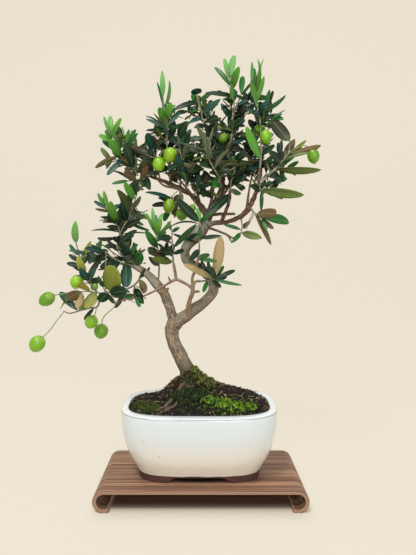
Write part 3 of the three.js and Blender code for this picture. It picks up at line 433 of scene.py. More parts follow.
# How far from the stand's middle, in metres, the glow starts and is full, across and in depth.
GLOW_X, GLOW_Y = (0.128, 0.144), (0.048, 0.078)
GLOW_MIDDLE_Y = -0.003
# The same for the end of the shadow painted on the floor under the stand.
SHADOW_END_X, SHADOW_END_Y = (0.108, 0.124), (0.03, 0.054)

sweep = modelled(
    "backdrop_sweep", bpy.ops.mesh.primitive_grid_add,
    x_subdivisions=2, y_subdivisions=140, size=SWEEP_SIZE, location=STAND_MIDDLE,
)
for vertex in sweep.data.vertices:
    past = vertex.co.y - SWEEP_BACK
    if past > 0:
        turn = min(past / SWEEP_RADIUS, math.pi / 2)
        straight = max(0, past - SWEEP_RADIUS * math.pi / 2)
        vertex.co.y = SWEEP_BACK + SWEEP_RADIUS * math.sin(turn)
        vertex.co.z = SWEEP_RADIUS * (1 - math.cos(turn)) + straight
smoothed(sweep, 60)

paper = Finish("backdrop_paper")
paper_x, paper_y, _ = paper.split(paper.mapped(location=-STAND_MIDDLE))
away = 1 - (1 - abs(paper_x).over(*GLOW_X)) * (1 - abs(paper_y - GLOW_MIDDLE_Y).over(*GLOW_Y))
glow = paper.node("ShaderNodeEmission", {}, {"Color": PAPER, "Strength": GLOW_STRENGTH})
# Under the stand a shadow is painted into the floor's colour.
painted_shadow_share = (1 - abs(paper_x).over(*SHADOW_END_X)) * (1 - abs(paper_y).over(*SHADOW_END_Y))
floor = paper.blend(painted_shadow_share, PAPER, PAINTED_SHADOW)
diffuse = paper.node("ShaderNodeBsdfDiffuse", {}, {"Color": floor})
mixed = paper.node("ShaderNodeMixShader", {}, {0: away * GLOW_SHARE, 1: diffuse, 2: glow})
paper.feed(paper.tree.nodes["Material Output"].inputs["Surface"], mixed)
sweep.data.materials.append(paper.material)
sweep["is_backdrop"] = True
print("Stage is", SWEEP_SIZE, "m wide")

# %% [markdown]
# ## The stand
#
# One sheet of walnut-faced plywood, 5 mm thick, runs flat under the pot and curls down and under
# into a scroll at each end. Half of it is modelled as the real sheet is bent: its cross edge is
# drawn out level, then spun round the middle of the scroll. A mirror gives the other half, a cut at
# table height gives the narrow flats that it rests on, and a bevel eases all its edges.

# %% Stand
STAND_LENGTH, STAND_DEPTH, STAND_HEIGHT, SHEET = 264, 106, 27, 5
FOOT_FLAT = 0.35
SCROLL_TURN, SCROLL_STEPS = 210, 30
FLAT_PARTS = 8
SCROLL_OUTER = STAND_HEIGHT / 2 + FOOT_FLAT / 2
SCROLL_X = STAND_LENGTH / 2 - SCROLL_OUTER
SCROLL_Z = STAND_HEIGHT - SCROLL_OUTER
EASED_EDGE, EASED_FROM = 1.1, 50  # width in millimetres, least angle of an edge in degrees

stand = modelled(
    "stand_sheet", bpy.ops.mesh.primitive_plane_add, size=1, rotation=(0, math.pi / 2, 0),
    location=(0, 0, (STAND_HEIGHT - SHEET / 2) * MM),
)
for vertex in stand.data.vertices:
    vertex.co.y *= STAND_DEPTH * MM
    vertex.co.z = (STAND_HEIGHT - (SHEET if vertex.co.z < (STAND_HEIGHT - SHEET / 2) * MM else 0)) * MM
stand.location = STAND_MIDDLE
edited()
bpy.ops.mesh.delete(type="ONLY_FACE")
bpy.ops.mesh.select_all(action="SELECT")
for _ in range(FLAT_PARTS):
    bpy.ops.mesh.extrude_region_move(
        TRANSFORM_OT_translate={"value": (SCROLL_X / FLAT_PARTS * MM, 0, 0)}
    )
bpy.ops.mesh.spin(
    steps=SCROLL_STEPS, angle=-math.radians(SCROLL_TURN), axis=(0, 1, 0),
    center=spot(SCROLL_X, 0, SCROLL_Z),
)
bpy.ops.mesh.edge_face_add()
bpy.ops.mesh.select_all(action="SELECT")
bpy.ops.mesh.remove_doubles(threshold=1e-6)
edit_done()
finished(stand, "MIRROR", use_clip=True, merge_threshold=1e-5)
edited()
bpy.ops.mesh.bisect(plane_co=spot(0, 0, 0), plane_no=(0, 0, 1), clear_inner=True, use_fill=True)
facing_out()
finished(
    stand, "BEVEL", width=EASED_EDGE * MM, segments=4, limit_method="ANGLE",
    angle_limit=math.radians(EASED_FROM),
)
chosen(stand)
bpy.ops.object.transform_apply(location=True)
smoothed(stand)
print("Stand box:", [round(side * 1000, 1) for side in stand.dimensions])

# %% [markdown]
# Walnut veneer has streaks that run the length of the sheet, and short dark pores. The sheet's
# edges show its plies. How deep a point lies under the outer face follows from its distance to the
# middle of the scroll, so one pattern of plies bends round with the sheet. The veneer is dark on the
# inner face, and under the pot a shadow is painted into it.

# %% Walnut plywood
POT_X = -2
POT_SHADOW_X, POT_SHADOW_Y = 74 * MM, 34 * MM
PLY = 1.25
walnut = Finish("walnut_plywood")
stand_x, stand_y, stand_z = walnut.split(walnut.mapped(location=-STAND_MIDDLE))
past_flat = abs(stand_x) - SCROLL_X * MM
above = (stand_z - SCROLL_Z * MM).over(-0.0005, 0.0005)
outward = past_flat * (1 - above) + past_flat.maths("MAXIMUM", past_flat, 0) * above
radius = (outward**2 + (stand_z - SCROLL_Z * MM) ** 2) ** 0.5
depth_mm = (SCROLL_OUTER * MM - radius) * (1 / MM)
streaks = walnut.noise(1, 5, (3, 620, 3), 0.75)
bands = walnut.noise(1, 3, (1.2, 330, 1.2))
rays = walnut.noise(1, 3, (0.9, 210, 0.9))
lines = 1 - abs(rays - 0.5).over(0.004, 0.04)
finer = 1 - abs(walnut.noise(1, 3, (1.4, 460, 1.4)) - 0.5).over(0.004, 0.05)
tone = walnut.noise(1, 2, (5, 20, 5))
pores = walnut.noise(1, 2, (60, 2600, 60), 0.7).over(0.54, 0.66)
from_pot = ((stand_x - POT_X * MM) * (1 / POT_SHADOW_X)) ** 2 + (stand_y * (1 / POT_SHADOW_Y)) ** 2
veneer = walnut.ramp(
    streaks * 0.6 + bands * 0.4,
    (0.4, (118, 82, 60)), (0.48, (154, 113, 86)), (0.54, (180, 139, 109)), (0.62, (206, 166, 134)),
)
veneer = walnut.washed(
    walnut.shade(veneer, 0.87 + 0.3 * tone),
    (lines * 0.6 + finer * 0.45, (72, 44, 32)),
    (pores * 0.45, (66, 42, 31)),
    (depth_mm.over(SHEET - 0.8, SHEET - 0.2) * 0.5, (56, 37, 27)),
    # A dark shadow is painted into the veneer under the pot.
    (1 - from_pot.over(0.7, 1.15), (30, 21, 15)),
)
layer = depth_mm * (2 * math.pi / PLY)
plies = walnut.washed(
    srgb(96, 68, 52),
    (layer.maths("SINE", layer).over(-0.35, 0.35), (202, 160, 128)),
    (walnut.noise(700, 3) * 0.4, (108, 80, 61)),
)
inside_sheet = depth_mm.over(0.45, 0.65) * (1 - depth_mm.over(SHEET - 0.65, SHEET - 0.45))
walnut_finish = walnut.paint(
    base_color=walnut.blend(inside_sheet, veneer, plies),
    roughness=0.42 + 0.16 * streaks,
    normal=walnut.relief(streaks * 0.5 - pores * 0.5, 0.15, 0.5),
)
stand.data.materials.append(walnut_finish)
settled(stand, "display_stand")

# %% [markdown]
# ## The pot
#
# The pot is oval, between an ellipse and a rectangle in plan. Its side is thrown here ring by ring:
# one ring of points is drawn up and sized to each level of the profile, over the rim and down to
# the floor inside. The hollow under the floor is drawn the same way, and cutters then open the
# low arches between the feet and the two drainage holes.

# %% Pot outline
RIM_WIDTH, RIM_DEPTH, RIM_Z = 202, 119, 116
PLAN_POWER = 3.4
FLOOR_Z = 44
FOOT_TOP_Z = STAND_HEIGHT + 9
RECESS_Z = FOOT_TOP_Z - 1.5
RECESS_INSET = 34
HOLE_RADIUS, HOLE_X = 10, 30
GAP = 0.35  # between the soil and the pot, and round the screens
POT_MIDDLE = spot(POT_X, 0, 0)
RING_POINTS = 112
# Levels of the wall: how far its ends and its sides lie in from the rim's edge, and the height.
POT_FOOT = [
    (23.6, 23, STAND_HEIGHT), (22.6, 22.2, STAND_HEIGHT + 0.8), (21.7, 21.7, 33),
    (21.3, 21.3, FOOT_TOP_Z),
]
POT_OUTSIDE = [
    (20.4, 20.8, 37), (18.3, 18.9, 41), (15.9, 16.3, 46), (12.1, 12.5, 53), (8.3, 8.6, 62),
    (4.7, 4.9, 74), (1.4, 1.4, 90), (0, 0, 105), (-0.2, -0.2, RIM_Z - 3),
]
RIM = [
    (0.1, 0.1, RIM_Z - 1.4), (0.9, 0.9, RIM_Z - 0.4), (2.2, 2.2, RIM_Z), (4.5, 6.5, RIM_Z + 0.2),
    (7, 11.4, RIM_Z), (8.3, 13.4, RIM_Z - 0.8),
]
POT_INSIDE = [
    (8.8, 14, RIM_Z - 2.6), (9.2, 14, 92), (12, 15.5, 74), (17, 20, 60), (24, 26.5, 49),
    (33, 34, FLOOR_Z),
]


def rounded(value):
    return math.copysign(abs(value) ** (2 / PLAN_POWER), value)


def half_sizes(end_inset, side_inset):
    return RIM_WIDTH / 2 - end_inset, RIM_DEPTH / 2 - side_inset


def wall_point(turn, end_inset, side_inset, z):
    half_x, half_y = half_sizes(end_inset, side_inset)
    return spot(POT_X + half_x * rounded(math.cos(turn)), half_y * rounded(math.sin(turn)), z)


def ring(name, end_inset, side_inset, z):
    """A ring of points in the shape of the pot's plan."""
    piece = modelled(name, bpy.ops.mesh.primitive_circle_add, vertices=RING_POINTS, radius=1)
    for k, vertex in enumerate(piece.data.vertices):
        turn = 2 * math.pi * (k + 0.5) / RING_POINTS
        vertex.co = wall_point(turn, end_inset, side_inset, z)
    edited()
    return piece


def drawn(rise_mm, scale_x, scale_y, middle):
    """Draws the selected ring on: a new ring of edges, raised and sized about a middle."""
    bpy.ops.mesh.extrude_edges_move(TRANSFORM_OT_translate={"value": (0, 0, rise_mm * MM)})
    bpy.ops.transform.resize(value=(scale_x, scale_y, 1), center_override=middle)


def thrown(levels):
    """Draws the selected ring from the first level through all the others."""
    for (*insets, z), (*next_insets, next_z) in zip(levels, levels[1:]):
        sizes = zip(half_sizes(*next_insets), half_sizes(*insets))
        scale_x, scale_y = (new / old for new, old in sizes)
        drawn(next_z - z, scale_x, scale_y, POT_MIDDLE)


print("Ring of", RING_POINTS, "points")

# %% Pot body
recess = [(RECESS_INSET + 2, RECESS_INSET + 2, RECESS_Z), (RECESS_INSET, RECESS_INSET, STAND_HEIGHT)]
outside, inside = through(POT_OUTSIDE, 3), through(POT_INSIDE, 3)
pot_levels = recess + POT_FOOT + outside + RIM + inside
pot = ring("pot_body", *pot_levels[0])
bpy.ops.mesh.edge_face_add()
bpy.ops.mesh.select_mode(type="EDGE")
bpy.ops.mesh.select_all(action="SELECT")
thrown(pot_levels)
bpy.ops.mesh.edge_face_add()
facing_out()


# Width of an arch at the stand and of its level top, in millimetres.
LONG_ARCH, END_ARCH = (88, 48), (34, 18)
ARCH_SLOPE, ARCH_ROUNDING = 7, 5
CUTTER_DEPTH = 20


def arch_cutter(foot, crown, through_mm, turn):
    """A long block with the outline of the arch between two feet."""
    cutter = modelled("arch_cutter", bpy.ops.mesh.primitive_cube_add, size=1)
    low, high = STAND_HEIGHT - 1, RECESS_Z
    for vertex in cutter.data.vertices:
        upper = vertex.co.z > 0
        width = crown + 2 * ARCH_SLOPE if upper else foot
        across, deep = math.copysign(width / 2, vertex.co.x), vertex.co.y * through_mm
        vertex.co = Vector((across, deep, high if upper else low)) * MM
    cutter.rotation_euler.z = turn
    cutter.location = POT_MIDDLE
    chosen(cutter)
    bpy.ops.object.transform_apply(location=True, rotation=True)
    edited()
    bpy.ops.mesh.select_mode(type="EDGE")
    bpy.ops.mesh.select_all(action="DESELECT")
    edit_done()
    for edge in cutter.data.edges:
        one, other = (cutter.data.vertices[k].co for k in edge.vertices)
        on_top = one.z > (low + 1) * MM and other.z > (low + 1) * MM
        edge.select = on_top and (one - other).length > 0.9 * through_mm * MM
    bpy.ops.object.mode_set(mode="EDIT")
    bpy.ops.mesh.bevel(offset=ARCH_ROUNDING * MM, segments=6)
    edit_done()
    return cutter


def cut(piece, cutter):
    finished(piece, "BOOLEAN", object=cutter, operation="DIFFERENCE", solver="EXACT")
    bpy.data.objects.remove(cutter)


cut(pot, arch_cutter(*LONG_ARCH, RIM_DEPTH, 0))
cut(pot, arch_cutter(*END_ARCH, RIM_WIDTH, math.pi / 2))
for x in (-HOLE_X, HOLE_X):
    hole = modelled(
        "hole_cutter", bpy.ops.mesh.primitive_cylinder_add, vertices=40, radius=HOLE_RADIUS * MM,
        depth=CUTTER_DEPTH * MM, location=spot(POT_X + x, 0, (RECESS_Z + FLOOR_Z) / 2),
    )
    cut(pot, hole)
smoothed(pot, 40)
print("Pot box:", [round(side * 1000, 1) for side in pot.dimensions])

# %% [markdown]
# The glaze is a thick milky white. It is warmer towards the foot and cooler towards the rim, a
# painted reflection of the warm floor below and the cool light from above. It thins over the edge
# of the rim, where the clay shows through as a grey line, and the top of the rim gets a painted
# highlight. It pools a little paler just above the foot, and stops there in a soft wave. Iron in
# the clay bleeds through it as a few brown specks. Below the glaze the fired clay is bare, and a
# nearly black shade is painted into it where it faces down.

# %% Glaze and bare clay
glaze = Finish("milk_glaze")
_, _, pot_z = glaze.split(glaze.here)
pot_z = pot_z * (1 / MM)
cloudy = glaze.noise(28, 3)
fine = glaze.noise(210, 4, roughness=0.6)
grainy = glaze.noise(520, 5, roughness=0.75)
# Warmer at the foot and cooler at the rim: a painted reflection of the warm floor and the cool light
# above.
milk = glaze.blend(pot_z.over(44, 104), srgb(228, 219, 206), srgb(213, 221, 225))
thin = (pot_z + fine * 0.5).over(114.1, 114.7) * (1 - (pot_z + fine * 0.5).over(115.4, 115.9))
specks = glaze.node("ShaderNodeTexVoronoi", {}, {"Vector": glaze.here, "Scale": 75}, "Distance")
specks = (1 - specks.over(0.045, 0.08)) * glaze.noise(30, 1).over(0.5, 0.53)
wave = pot_z + glaze.noise(45, 2) * 2.2 - 1.1
bare = 1 - wave.over(FOOT_TOP_Z + 0.3, FOOT_TOP_Z + 0.8)
rolled = wave.over(FOOT_TOP_Z + 0.6, FOOT_TOP_Z + 1.4) * (1 - wave.over(FOOT_TOP_Z + 2, FOOT_TOP_Z + 4))
milk = glaze.washed(
    glaze.shade(milk, 0.885 + 0.07 * cloudy + 0.17 * grainy),
    (thin * 0.6, (142, 136, 124)),
    # A painted highlight along the top of the rim.
    (pot_z.over(115.3, 115.8), (240, 247, 250)),
    (specks * 0.85, (132, 98, 66)),
    (rolled * 0.5, (240, 235, 224)),
)
_, _, glaze_up = glaze.facing()
clay = glaze.washed(
    srgb(64, 37, 30),
    (glaze.noise(320, 3), (100, 64, 52)),
    # A nearly black shade painted into the bare clay where it faces down.
    (1 - glaze_up.over(-0.9, -0.4), (22, 14, 11)),
)
glaze_finish = glaze.paint(
    base_color=glaze.blend(bare, milk, clay),
    roughness=0.16 + 0.62 * bare + 0.1 * fine,
    coat_weight=0.5 * (1 - bare),
    normal=glaze.relief(cloudy * 0.6 + fine * 0.25 + bare * fine * 0.6, 0.5, 0.35),
)
pot.data.materials.append(glaze_finish)
settled(pot, "pot")

# %% [markdown]
# ## What lies under the soil
#
# A plastic mesh covers each drainage hole, and a bent wire holds it down. Their CAD nodes have the
# right shape, so they only get a finish.

# %% Drain screens and clips
mesh_plastic = Finish("plastic_mesh")
mesh_plastic.paint(
    base_color=mesh_plastic.ramp(mesh_plastic.noise(900), (0.3, (22, 25, 24)), (0.8, (44, 48, 46))),
    roughness=0.55 + 0.2 * mesh_plastic.noise(400),
)
clip_wire = Finish("clip_wire")
clip_wire.paint(
    base_color=clip_wire.ramp(clip_wire.noise(500), (0.3, (150, 154, 156)), (0.8, (196, 199, 200))),
    metallic=1.0,
    roughness=0.3 + 0.15 * clip_wire.noise(800),
)
for kind, finish in (("drain_screen", mesh_plastic), ("screen_clip", clip_wire)):
    for side in ("left", "right"):
        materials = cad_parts[f"{kind}_{side}"].data.materials
        materials.clear()
        materials.append(finish.material)
print("Screens and clips have their finish")

# %% [markdown]
# ## The soil
#
# The soil is a low mound, highest at the trunk. It is drawn from the pot's own rings: up the wall
# inside, then in towards the peak. A remesh gives it even, fine faces, which two cloudy patterns
# push up and down as lumps and grit.

# %% Soil body
SOIL_EDGE_Z, SOIL_PEAK_Z = 112, 147
SOIL_PEAK = (-14, 2)
# The mound falls away to the left, to half at this share of the way and ever slower. To the right
# it falls evenly by the first share of its height, and by the second close to the wall.
LEFT_HALF, RIGHT_EVENLY, RIGHT_BANK = 0.45, 0.78, 0.22
ABOVE_ALL = 0.2  # metres
SOIL_INSETS = [inset + GAP for inset in POT_INSIDE[0][:2]]
SOIL_SHARES = [1, 0.97, 0.93, 0.87, 0.8, 0.72, 0.64, 0.56, 0.48, 0.4, 0.32, 0.24, 0.16, 0.08]
SOIL_VOXEL = 1.35
POCKET_SIDE, POCKET_HEIGHT = 30.7, 8.6  # round a drain screen and its clip
LUMPS, GRIT = (7, 4.4), (2.6, 2.6)  # size and strength in millimetres


def soil_level(turn, share):
    """Height of the mound at a share of the way from its peak to the wall, in millimetres."""
    left = 1 / (1 + (share / LEFT_HALF) ** 4)
    right = 1 - RIGHT_EVENLY * share - RIGHT_BANK * share**9
    towards_right = (1 + math.cos(turn)) / 2
    height = left + (right - left) * towards_right
    return SOIL_EDGE_Z + (SOIL_PEAK_Z - SOIL_EDGE_Z) * height


def soil_point(turn, share):
    wall = wall_point(turn, *SOIL_INSETS, 0)
    peak = spot(*SOIL_PEAK, 0)
    return peak.lerp(wall, share) + Vector((0, 0, soil_level(turn, share) * MM))


buried = [tuple(value + GAP for value in level) for level in reversed(POT_INSIDE[1:])]
buried.append((*SOIL_INSETS, SOIL_EDGE_Z))
soil = ring("soil_bed", *buried[0])
bpy.ops.mesh.edge_face_add()
bpy.ops.mesh.select_mode(type="EDGE")
bpy.ops.mesh.select_all(action="SELECT")
thrown(buried)
for share, following in zip(SOIL_SHARES, SOIL_SHARES[1:]):
    scale = following / share
    drawn(0, scale, scale, spot(*SOIL_PEAK, 0))
bpy.ops.mesh.edge_face_add()
facing_out()
first = (len(buried) - 1) * RING_POINTS
for k, vertex in enumerate(soil.data.vertices[first:]):
    turn = 2 * math.pi * (k % RING_POINTS + 0.5) / RING_POINTS
    vertex.co = soil_point(turn, SOIL_SHARES[k // RING_POINTS])
finished(soil, "REMESH", mode="VOXEL", voxel_size=SOIL_VOXEL * MM)
for x in (-HOLE_X, HOLE_X):
    pocket = modelled(
        "pocket_cutter", bpy.ops.mesh.primitive_cube_add, size=1, location=spot(POT_X + x, 0, FLOOR_Z),
        scale=Vector((POCKET_SIDE, POCKET_SIDE, POCKET_HEIGHT)) * MM,
    )
    cut(soil, pocket)
surface = soil.vertex_groups.new(name="surface")
above = [vertex.index for vertex in soil.data.vertices if vertex.co.z > (SOIL_EDGE_Z - 1.5) * MM]
surface.add(above, 1, "REPLACE")
displaced(soil, "soil_lumps", *LUMPS, vertex_group="surface", direction="Z")
displaced(soil, "soil_grit", *GRIT, vertex_group="surface", direction="Z")
smoothed(soil, 180)
soil_tree = BVHTree.FromObject(soil, bpy.context.evaluated_depsgraph_get())


def on_soil(x, y):
    """The point of the soil's surface at a place in the frame, in metres, and its normal."""
    hit, normal, _, _ = soil_tree.ray_cast(Vector((x, y, ABOVE_ALL)), Vector((0, 0, -1)))
    return hit, normal


print("Soil points:", len(soil.data.vertices))

# %% [markdown]
# ## Many small copies
#
# Grit, fibres, moss and leaves come in hundreds. Each kind is modelled once, with few faces, and
# every copy is placed by a matrix and gets two tints of its own, kept as attributes that the
# materials read. Joining thousands of objects is slow, so the copies are written into one mesh.

# %% Copies


def numbers(items, key, columns=1, kind=np.float32):
    """One property of each item, such as the place of each vertex, as an array."""
    found = np.empty(len(items) * columns, dtype=kind)
    items.foreach_get(key, found)
    return found.reshape(-1, columns) if columns > 1 else found


class Pattern:
    """The numbers of a modelled shape, ready for copying."""

    def __init__(self, model):
        mesh = model.data
        self.points = numbers(mesh.vertices, "co", 3)
        self.corners = numbers(mesh.loops, "vertex_index", kind=np.int32)
        self.starts = numbers(mesh.polygons, "loop_start", kind=np.int32)
        self.flat = np.zeros((len(mesh.loops), 2), dtype=np.float32)
        self.upper = np.ones(len(mesh.vertices), dtype=np.float32)
        if mesh.uv_layers:
            self.flat = numbers(mesh.uv_layers.active.data, "uv", 2)
        if "upper" in mesh.attributes:
            self.upper = numbers(mesh.attributes["upper"].data, "value")
        bpy.data.objects.remove(model)


def copied(name, copies, smooth=True):
    """One mesh of many copies, each a (pattern, matrix, tint, under tint)."""
    points, corners, starts, flats, uppers, tints, unders = [], [], [], [], [], [], []
    point_count = corner_count = 0
    for pattern, matrix, tint, under in copies:
        turned = np.array(matrix.to_3x3(), dtype=np.float32)
        points.append(pattern.points @ turned.T + np.array(matrix.translation, dtype=np.float32))
        corners.append(pattern.corners + point_count)
        starts.append(pattern.starts + corner_count)
        flats.append(pattern.flat)
        uppers.append(pattern.upper)
        tints.append(np.tile((*tint, 1), (len(pattern.points), 1)))
        unders.append(np.tile((*under, 1), (len(pattern.points), 1)))
        point_count += len(pattern.points)
        corner_count += len(pattern.corners)
    mesh = bpy.data.meshes.new(name)
    mesh.vertices.add(point_count)
    mesh.vertices.foreach_set("co", np.concatenate(points).ravel())
    mesh.loops.add(corner_count)
    mesh.loops.foreach_set("vertex_index", np.concatenate(corners))
    starts = np.concatenate(starts)
    mesh.polygons.add(len(starts))
    mesh.polygons.foreach_set("loop_start", starts)
    mesh.polygons.foreach_set("use_smooth", np.full(len(starts), smooth))
    mesh.update(calc_edges=True)
    mesh.uv_layers.new(name="lie").data.foreach_set("uv", np.concatenate(flats).ravel())
    kept(mesh, "tint", "FLOAT_COLOR", "color", np.concatenate(tints))
    kept(mesh, "under_tint", "FLOAT_COLOR", "color", np.concatenate(unders))
    kept(mesh, "upper", "FLOAT", "value", np.concatenate(uppers))
    piece = bpy.data.objects.new(name, mesh)
    bpy.context.scene.collection.objects.link(piece)
    return piece


def place_matrix(place, along, face, sizes):
    """A matrix that puts a pattern's X axis along a direction and its Z axis towards a face."""
    along = along.normalized()
    face = (face - face.dot(along) * along).normalized()
    across = face.cross(along)
    turned = Matrix((along * sizes[0], across * sizes[1], face * sizes[2])).transposed()
    return Matrix.Translation(place) @ turned.to_4x4()


def level(turn, rise):
    """A direction at an angle in plan, with a rise."""
    return Vector((math.cos(turn), math.sin(turn), rise))


def varied(colour, dice, light=0.15, warm=0.06):
    """A colour made a little lighter or darker and warmer or cooler by chance."""
    factor = 1 + dice.uniform(-light, light)
    shift = dice.uniform(-warm, warm)
    return (colour[0] * factor * (1 + shift), colour[1] * factor, colour[2] * factor * (1 - shift))


def tube(name, routes, sides=8):
    """Round rods along routes of (x, y, z, radius) points in millimetres, closed at their ends."""
    curve = bpy.data.curves.new(name, "CURVE")
    curve.dimensions = "3D"
    curve.bevel_depth = MM
    curve.bevel_resolution = (sides - 4) // 2
    curve.use_fill_caps = True
    for route in routes:
        spline = curve.splines.new("POLY")
        spline.points.add(len(route) - 1)
        for point, (x, y, z, radius) in zip(spline.points, route):
            point.co = (*spot(x, y, z), 1)
            point.radius = radius
    piece = bpy.data.objects.new(name, curve)
    bpy.context.scene.collection.objects.link(piece)
    chosen(piece)
    bpy.ops.object.convert(target="MESH")
    return bpy.context.object


print("Copies are ready")

# %% [markdown]
# ## Grit and fibres on the soil
#
# Potting soil for a bonsai is grit, bark chips and dead root fibre. A crumb starts as a small
# icosphere whose points are pushed about, and a fibre as a thin four-sided rod with a kink. Both
# are strewn over the mound, most of them dark and a few pale.

# %% Soil litter
CRUMBS, FIBRES, CHIPS = 1300, 2200, 600
# Sizes in millimetres, each from the least to the greatest.
CRUMB_SIZE, FIBRE_LENGTH, FIBRE_THICKNESS, FIBRE_LIFT = (0.5, 2.7), (3, 10), (0.2, 0.55), (0.2, 2.2)
CHIP_LENGTH, CHIP_WIDTH, CHIP_THICKNESS, CHIP_LIFT = (1.8, 4), (0.8, 1.5), 0.5, 0.2
CRUMB_DENTS, CRUMB_FLATNESS = (0.65, 1.15), 0.7
# Where a fibre bends, and how far it bends sideways and up, in times its thickness.
FIBRE_JOINTS, FIBRE_KINK, FIBRE_BOW = (-0.2, 0.2), (-2, 2), (0.24, 0.96)
LITTER_REACH, LITTER_RISE, LITTER_VARIES = 0.985, (-0.12, 0.3), 0.3
WITHIN_WALL = 0.97
PALE_SHARE = 0.17
SOIL_TINTS = [srgb(26, 20, 14), srgb(15, 12, 9), srgb(40, 31, 20), srgb(62, 46, 31), srgb(10, 9, 7)]
PALE_TINTS = [srgb(122, 102, 76), srgb(156, 134, 104), srgb(98, 80, 58)]
soil_dice = random.Random(7)


def crumb_pattern(seed):
    dice = random.Random(seed)
    crumb = modelled("crumb", bpy.ops.mesh.primitive_ico_sphere_add, subdivisions=1, radius=1)
    for vertex in crumb.data.vertices:
        vertex.co *= dice.uniform(*CRUMB_DENTS)
        vertex.co.z *= CRUMB_FLATNESS
    return Pattern(crumb)


def fibre_pattern(seed):
    dice = random.Random(seed)
    fibre = modelled(
        "fibre", bpy.ops.mesh.primitive_cylinder_add, vertices=4, radius=1, depth=1,
        rotation=(0, math.pi / 2, 0),
    )
    for x in FIBRE_JOINTS:
        edited()
        bpy.ops.mesh.bisect(plane_co=(x, 0, 0), plane_no=(1, 0, 0))
        edit_done()
    kink, lift = dice.uniform(*FIBRE_KINK), dice.uniform(*FIBRE_BOW)
    for vertex in fibre.data.vertices:
        bend = math.cos(vertex.co.x * math.pi)
        vertex.co.y += kink * bend
        vertex.co.z += lift * bend
        vertex.co.y *= 1 - 0.5 * abs(vertex.co.x)
    return Pattern(fibre)


crumbs = [crumb_pattern(seed) for seed in range(5)]
fibres = [fibre_pattern(seed) for seed in range(6)]


def soil_covers(place):
    """Whether a place is inside the wall of the pot."""
    half_x, half_y = half_sizes(*SOIL_INSETS)
    across = (place - POT_MIDDLE) / MM
    return abs(across.x / half_x) ** PLAN_POWER + abs(across.y / half_y) ** PLAN_POWER < WITHIN_WALL


def strewn(number, patterns, sizes, lift=lambda: 0):
    """So many copies of the patterns on the soil; sizes and lift draw numbers in millimetres."""
    for _ in range(number):
        turn, share = soil_dice.uniform(0, 2 * math.pi), LITTER_REACH * math.sqrt(soil_dice.random())
        flat = soil_point(turn, share)
        place, normal = on_soil(flat.x, flat.y)
        size = [value * MM for value in sizes()]
        place = place + normal * lift() * MM
        along = level(soil_dice.uniform(0, 2 * math.pi), soil_dice.uniform(*LITTER_RISE))
        pattern = soil_dice.choice(patterns)
        tint = soil_dice.choice(PALE_TINTS if soil_dice.random() < PALE_SHARE else SOIL_TINTS)
        tint = varied(tint, soil_dice, LITTER_VARIES)
        yield pattern, place_matrix(place, along, normal, size), tint, (0, 0, 0)


def crumb_size():
    return [soil_dice.uniform(*CRUMB_SIZE)] * 3


def fibre_size():
    length, thick = soil_dice.uniform(*FIBRE_LENGTH), soil_dice.uniform(*FIBRE_THICKNESS)
    return length, thick, thick


def chip_size():
    return soil_dice.uniform(*CHIP_LENGTH), soil_dice.uniform(*CHIP_WIDTH), CHIP_THICKNESS


litter = [
    *strewn(CRUMBS, crumbs, crumb_size),
    *strewn(FIBRES, fibres, fibre_size, lambda: soil_dice.uniform(*FIBRE_LIFT)),
    *strewn(CHIPS, crumbs, chip_size, lambda: CHIP_LIFT),
]
soil_litter = copied("soil_litter", litter, smooth=False)
print("Litter:", len(litter), "bits")

# %% Soil finish
earth = Finish("damp_soil")
clods = earth.noise(260, 5, roughness=0.7)
grains = earth.noise(900, 3)
earth_finish = earth.paint(
    base_color=earth.ramp(
        clods * 0.6 + grains * 0.4, (0.38, (8, 6, 4)), (0.54, (18, 13, 9)), (0.7, (50, 37, 25)),
    ),
    roughness=0.9 - 0.15 * grains,
    normal=earth.relief(clods + grains, 0.6, 0.9),
)
chaff = Finish("soil_chaff")
chaff_grain = chaff.noise(1400, 2)
chaff_finish = chaff.paint(
    base_color=chaff.shade(chaff.stored("tint"), 0.7 + 0.6 * chaff_grain),
    roughness=0.82 + 0.12 * chaff_grain,
    normal=chaff.relief(chaff_grain, 0.2, 0.6),
)
soil.data.materials.append(earth_finish)
soil_litter.data.materials.append(chaff_finish)
settled(joined("soil_mound", [soil, soil_litter]), "soil")

# %% [markdown]
# ## The wood
#
# Trunk, boughs and dead stubs are one piece of wood. Each limb follows its own route of points,
# given with their radii. Rods along the thick routes are fused by a voxel remesh, which also fills
# the forks as growing wood does; the thinnest twigs are joined on as they are. Then each point of
# the surface looks up the nearest limb, so that furrows can run along it, and bark can differ
# between trunk and twig.

